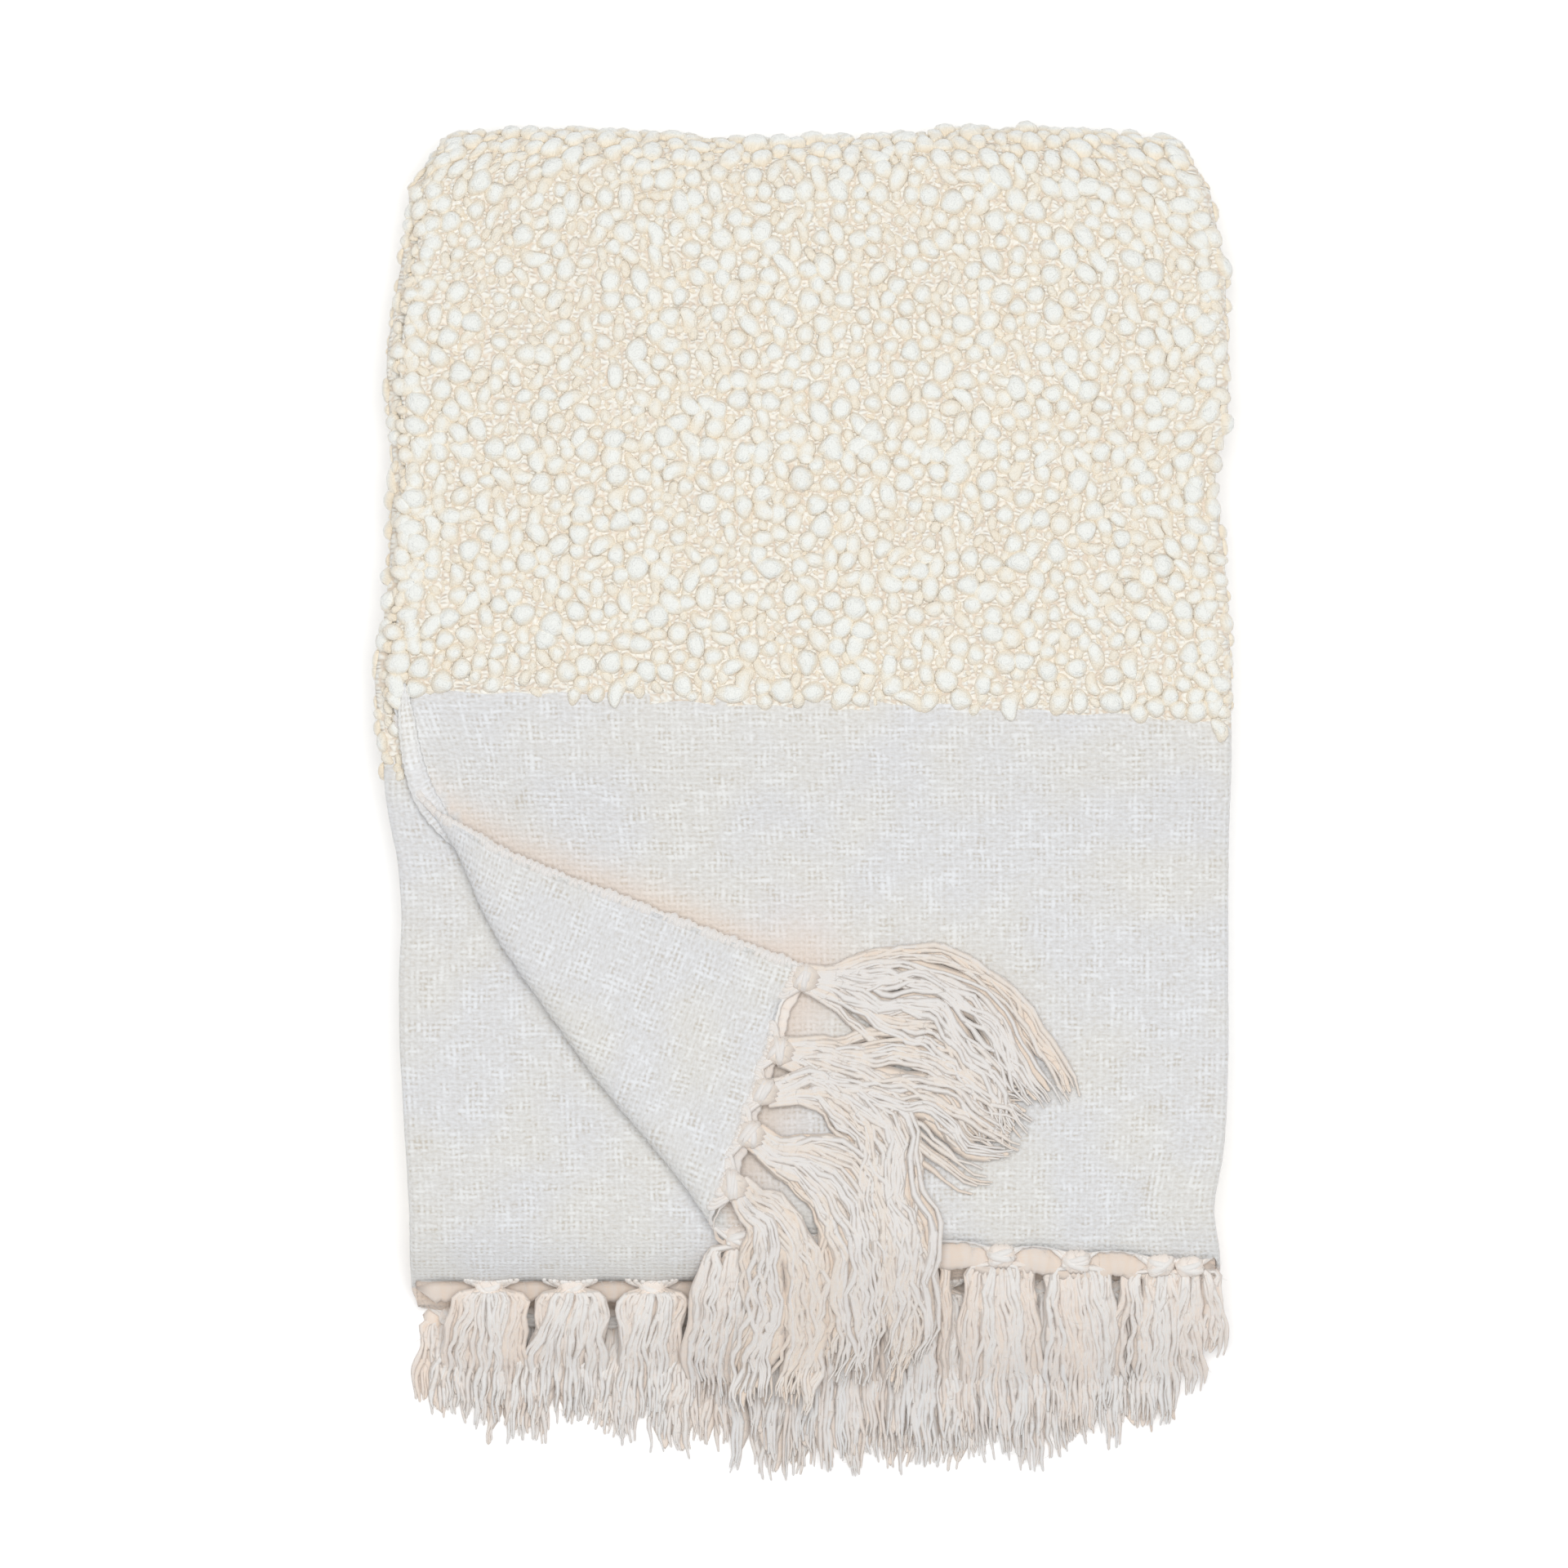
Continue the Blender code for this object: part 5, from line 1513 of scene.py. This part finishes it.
    def lay(self, tassel: TurnedTassel) -> None:
        """Add a tassel of the turned corner, which lies over the top panel."""
        start, outward, _ = self.tie(tassel.u)
        shown = [start - outward * 0.02, start, *(np.array((x, y, 0.0)) + SHIFT for x, y in tassel.route)]
        shown.append(shown[-1] * 2 - shown[-2])
        flat = smooth_curve([point[:2] for point in shown], 0.002)
        last = len(flat) - 1
        share = np.linspace(0.0, 1.0, self.points + 9)
        for strand in self.strands(tassel.yarns, (0.0030, 0.0015), 0.03, 0.005):
            lock = strand.lock
            along = share * (0.97 - 0.07 * lock.reach + strand.reach)
            places = np.clip(along, 0.0, 1.0) * last
            x, y = (np.interp(places, np.arange(len(flat)), flat[:, axis]) for axis in (0, 1))
            ahead = np.gradient(np.stack((x, y), -1), axis=0)
            stands = np.linalg.norm(ahead, axis=1, keepdims=True) <= 1e-7
            ahead = unit(np.where(stands, flat[-1] - flat[-2], ahead))
            extra = np.maximum(along - 1.0, 0.0) * last * 0.002
            side = np.stack((ahead[:, 1], -ahead[:, 0], np.zeros(len(x))), -1)
            spread = 0.0062 + (tassel.spread - 0.0062) * ease(share * 2.6)
            own_spread = 0.0008 + 0.0022 * ease(share * 3.0)
            fan = lock.lateral * spread + strand.own * own_spread + lock.drift * 0.008 * ease(share * 1.3)
            fan = fan + strand.stray * ease(share * 1.4 - 0.1)
            x, y = x + side[:, 0] * fan + ahead[:, 0] * extra, y + side[:, 1] * fan + ahead[:, 1] * extra
            z = self.panel_height(x, y) + self.yarn_radius
            z = z + strand.crown(0.5, 0.86) * (0.0040 + 0.0022 * np.sin(np.pi * share))
            z = z - 0.0009 * (1.0 - strand.stack)
            z = z + (start[2] - z) * (1.0 - ease(share * 5.0))
            self.add_strand(strand, np.stack((x, y, z), -1), side, share, (0.20, 0.50))

    def tuck(self, layer: Layer, x: float) -> None:
        """Add a tassel of the far hem, straight and level inside the stack."""
        seat, outward, across = self.knot_frame(float(FOLD.across_at(layer, x, FOLD.far_line)), near=False)
        core = seat + outward * np.linspace(0.0006, 0.0088, 5)[:, None]
        self.pile.tube(core, np.array((0.0012, 0.0019, 0.0021, 0.0019, 0.0014)), 8, 0.4, 0.0)
        share = np.linspace(0.0, 1.0, 9)
        for strand in range(6):
            lateral = (strand - 2.5) / 2.5
            path = (seat + outward * (0.0075 + 0.100 * share)[:, None]
                    + across * (lateral * (0.0014 + 0.0024 * ease(share * 2.0)))[:, None])
            self.pile.tube(path, 0.0008, 4, 0.4, self.dice.uniform(-1.0, 1.0))

    def make(self, material: bpy.types.Material,
             turned_material: bpy.types.Material) -> dict[str, bpy.types.Object]:
        """Build every tassel.

        Args:
            material: Finish of the hanging tassels.
            turned_material: Finish of the turned corner's tassels.

        Returns:
            The finished objects by the name of their group.
        """
        for tassel in TURNED:
            self.lay(tassel)
        made = {"turned": self.pile.make("fringe_turned_corner", turned_material)}
        for layer in Layer:
            self.pile = MeshPile()
            self.roll_hem(layer)
            for tassel in HANGING:
                if tassel.layer == layer:
                    self.hang(tassel)
            made[layer.name.lower()] = self.pile.make(f"fringe_{layer.name.lower()}_layer", material)
        self.pile = MeshPile()
        for number, x in enumerate(np.linspace(-self.far_spread, self.far_spread, self.far_tassels)):
            self.tuck(Layer(number % len(Layer)), float(x))
        made["far"] = self.pile.make("fringe_far_hem", material)
        made["fuzz"] = self.fuzz.make("fringe_fuzz", material)
        return made


@dataclass
class Studio:
    """Pale floor, soft light and the camera straight above."""

    scale: float = 0.000417
    view_height: float = 5.0
    surface: float = 0.055
    pixel_origin: tuple = (991.0, 1530.0)
    image_size: int = 1920
    sensor: float = 36.0
    floor_size: float = 12.0
    light_size: float = 1.6
    light_place: tuple = (0.06, 0.16, 3.0)
    top_light: float = 56.0
    sky: float = 0.43
    sky_colour: tuple = (0.985, 0.99, 1.0, 1.0)

    def make_floor(self, material: bpy.types.Material) -> bpy.types.Object:
        """A wide plain floor."""
        bpy.ops.object.select_all(action="DESELECT")
        bpy.ops.mesh.primitive_plane_add(size=self.floor_size, location=(0.0, 0.0, 0.0))
        floor = bpy.context.object
        floor.name = "studio_floor"
        floor.data.materials.append(material)
        return floor

    def make_lights(self) -> None:
        """A wide soft light overhead and an even white sky."""
        world = bpy.data.worlds.new("studio_sky")
        world.use_nodes = True
        background = world.node_tree.nodes["Background"]
        background.inputs[0].default_value = self.sky_colour
        background.inputs[1].default_value = self.sky
        bpy.context.scene.world = world
        light = bpy.data.lights.new("overhead_softbox", "AREA")
        light.shape = "RECTANGLE"
        light.size, light.size_y = self.light_size, self.light_size
        light.energy = self.top_light
        made = bpy.data.objects.new("overhead_softbox", light)
        made.location = self.light_place
        made.rotation_euler = (-Vector(self.light_place)).to_track_quat("-Z", "Y").to_euler()
        bpy.context.scene.collection.objects.link(made)

    def make_camera(self) -> None:
        """The camera, straight above, at the photograph's scale."""
        middle = self.image_size / 2
        x = (middle - self.pixel_origin[0]) * self.scale
        y = (self.pixel_origin[1] - middle) * self.scale + SHIFT[1]
        data = bpy.data.cameras.new("camera")
        data.sensor_width = self.sensor
        data.lens = self.sensor * self.view_height / (self.image_size * self.scale)
        data.clip_end = 50.0
        camera = bpy.data.objects.new("camera", data)
        camera.location = (x, y, self.surface + self.view_height)
        bpy.context.scene.collection.objects.link(camera)
        bpy.context.scene.camera = camera


def tassel_nodes(end: str, first: int, last: int) -> list[str]:
    """Names of one end's tassel nodes from one number to another."""
    return [f"tassel_{end}_{number:02d}" for number in range(first, last + 1)]


def main() -> None:
    """Build the throw's pieces in order, hang them on the root body in place of the model's parts, and log
    each piece's faces.
    """
    logging.basicConfig(level=logging.INFO, format="%(message)s")
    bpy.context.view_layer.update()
    studio = Studio()
    studio.make_floor(Floor().make())
    studio.make_lights()
    studio.make_camera()
    bpy.context.scene.view_settings.view_transform = "Standard"

    cloth = WovenCloth().make(PlainWeave().make(), BoucleGround().make())
    loops = BoucleLoops().make(LoopYarn().make())
    turned_yarn = TURNED_YARN.make()
    loops.append(WeftTurns().make(turned_yarn))
    loops.append(SelvedgeRoll().make(ROLL_WEAVE_PAINTED_LIGHT.make()))
    fringe = Fringe().make(FringeYarn().make(), turned_yarn)
    groups = {"turned": tassel_nodes("near", 1, 5), "upper": tassel_nodes("near", 6, 12),
              "middle": tassel_nodes("near", 13, 20), "lower": tassel_nodes("near", 21, 28),
              "far": tassel_nodes("far", 1, 28)}
    for piece in (cloth, *loops):
        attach(piece, "root")
    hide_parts("throw_cloth")
    for group, piece in fringe.items():
        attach(piece, "root")
        if group in groups:
            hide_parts(*groups[group])
    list(loops)
    for piece in (cloth, *loops, *fringe.values()):
        LOG.info("%s: %d faces", piece.name, len(piece.data.polygons))


if __name__ == "__main__":
    main()
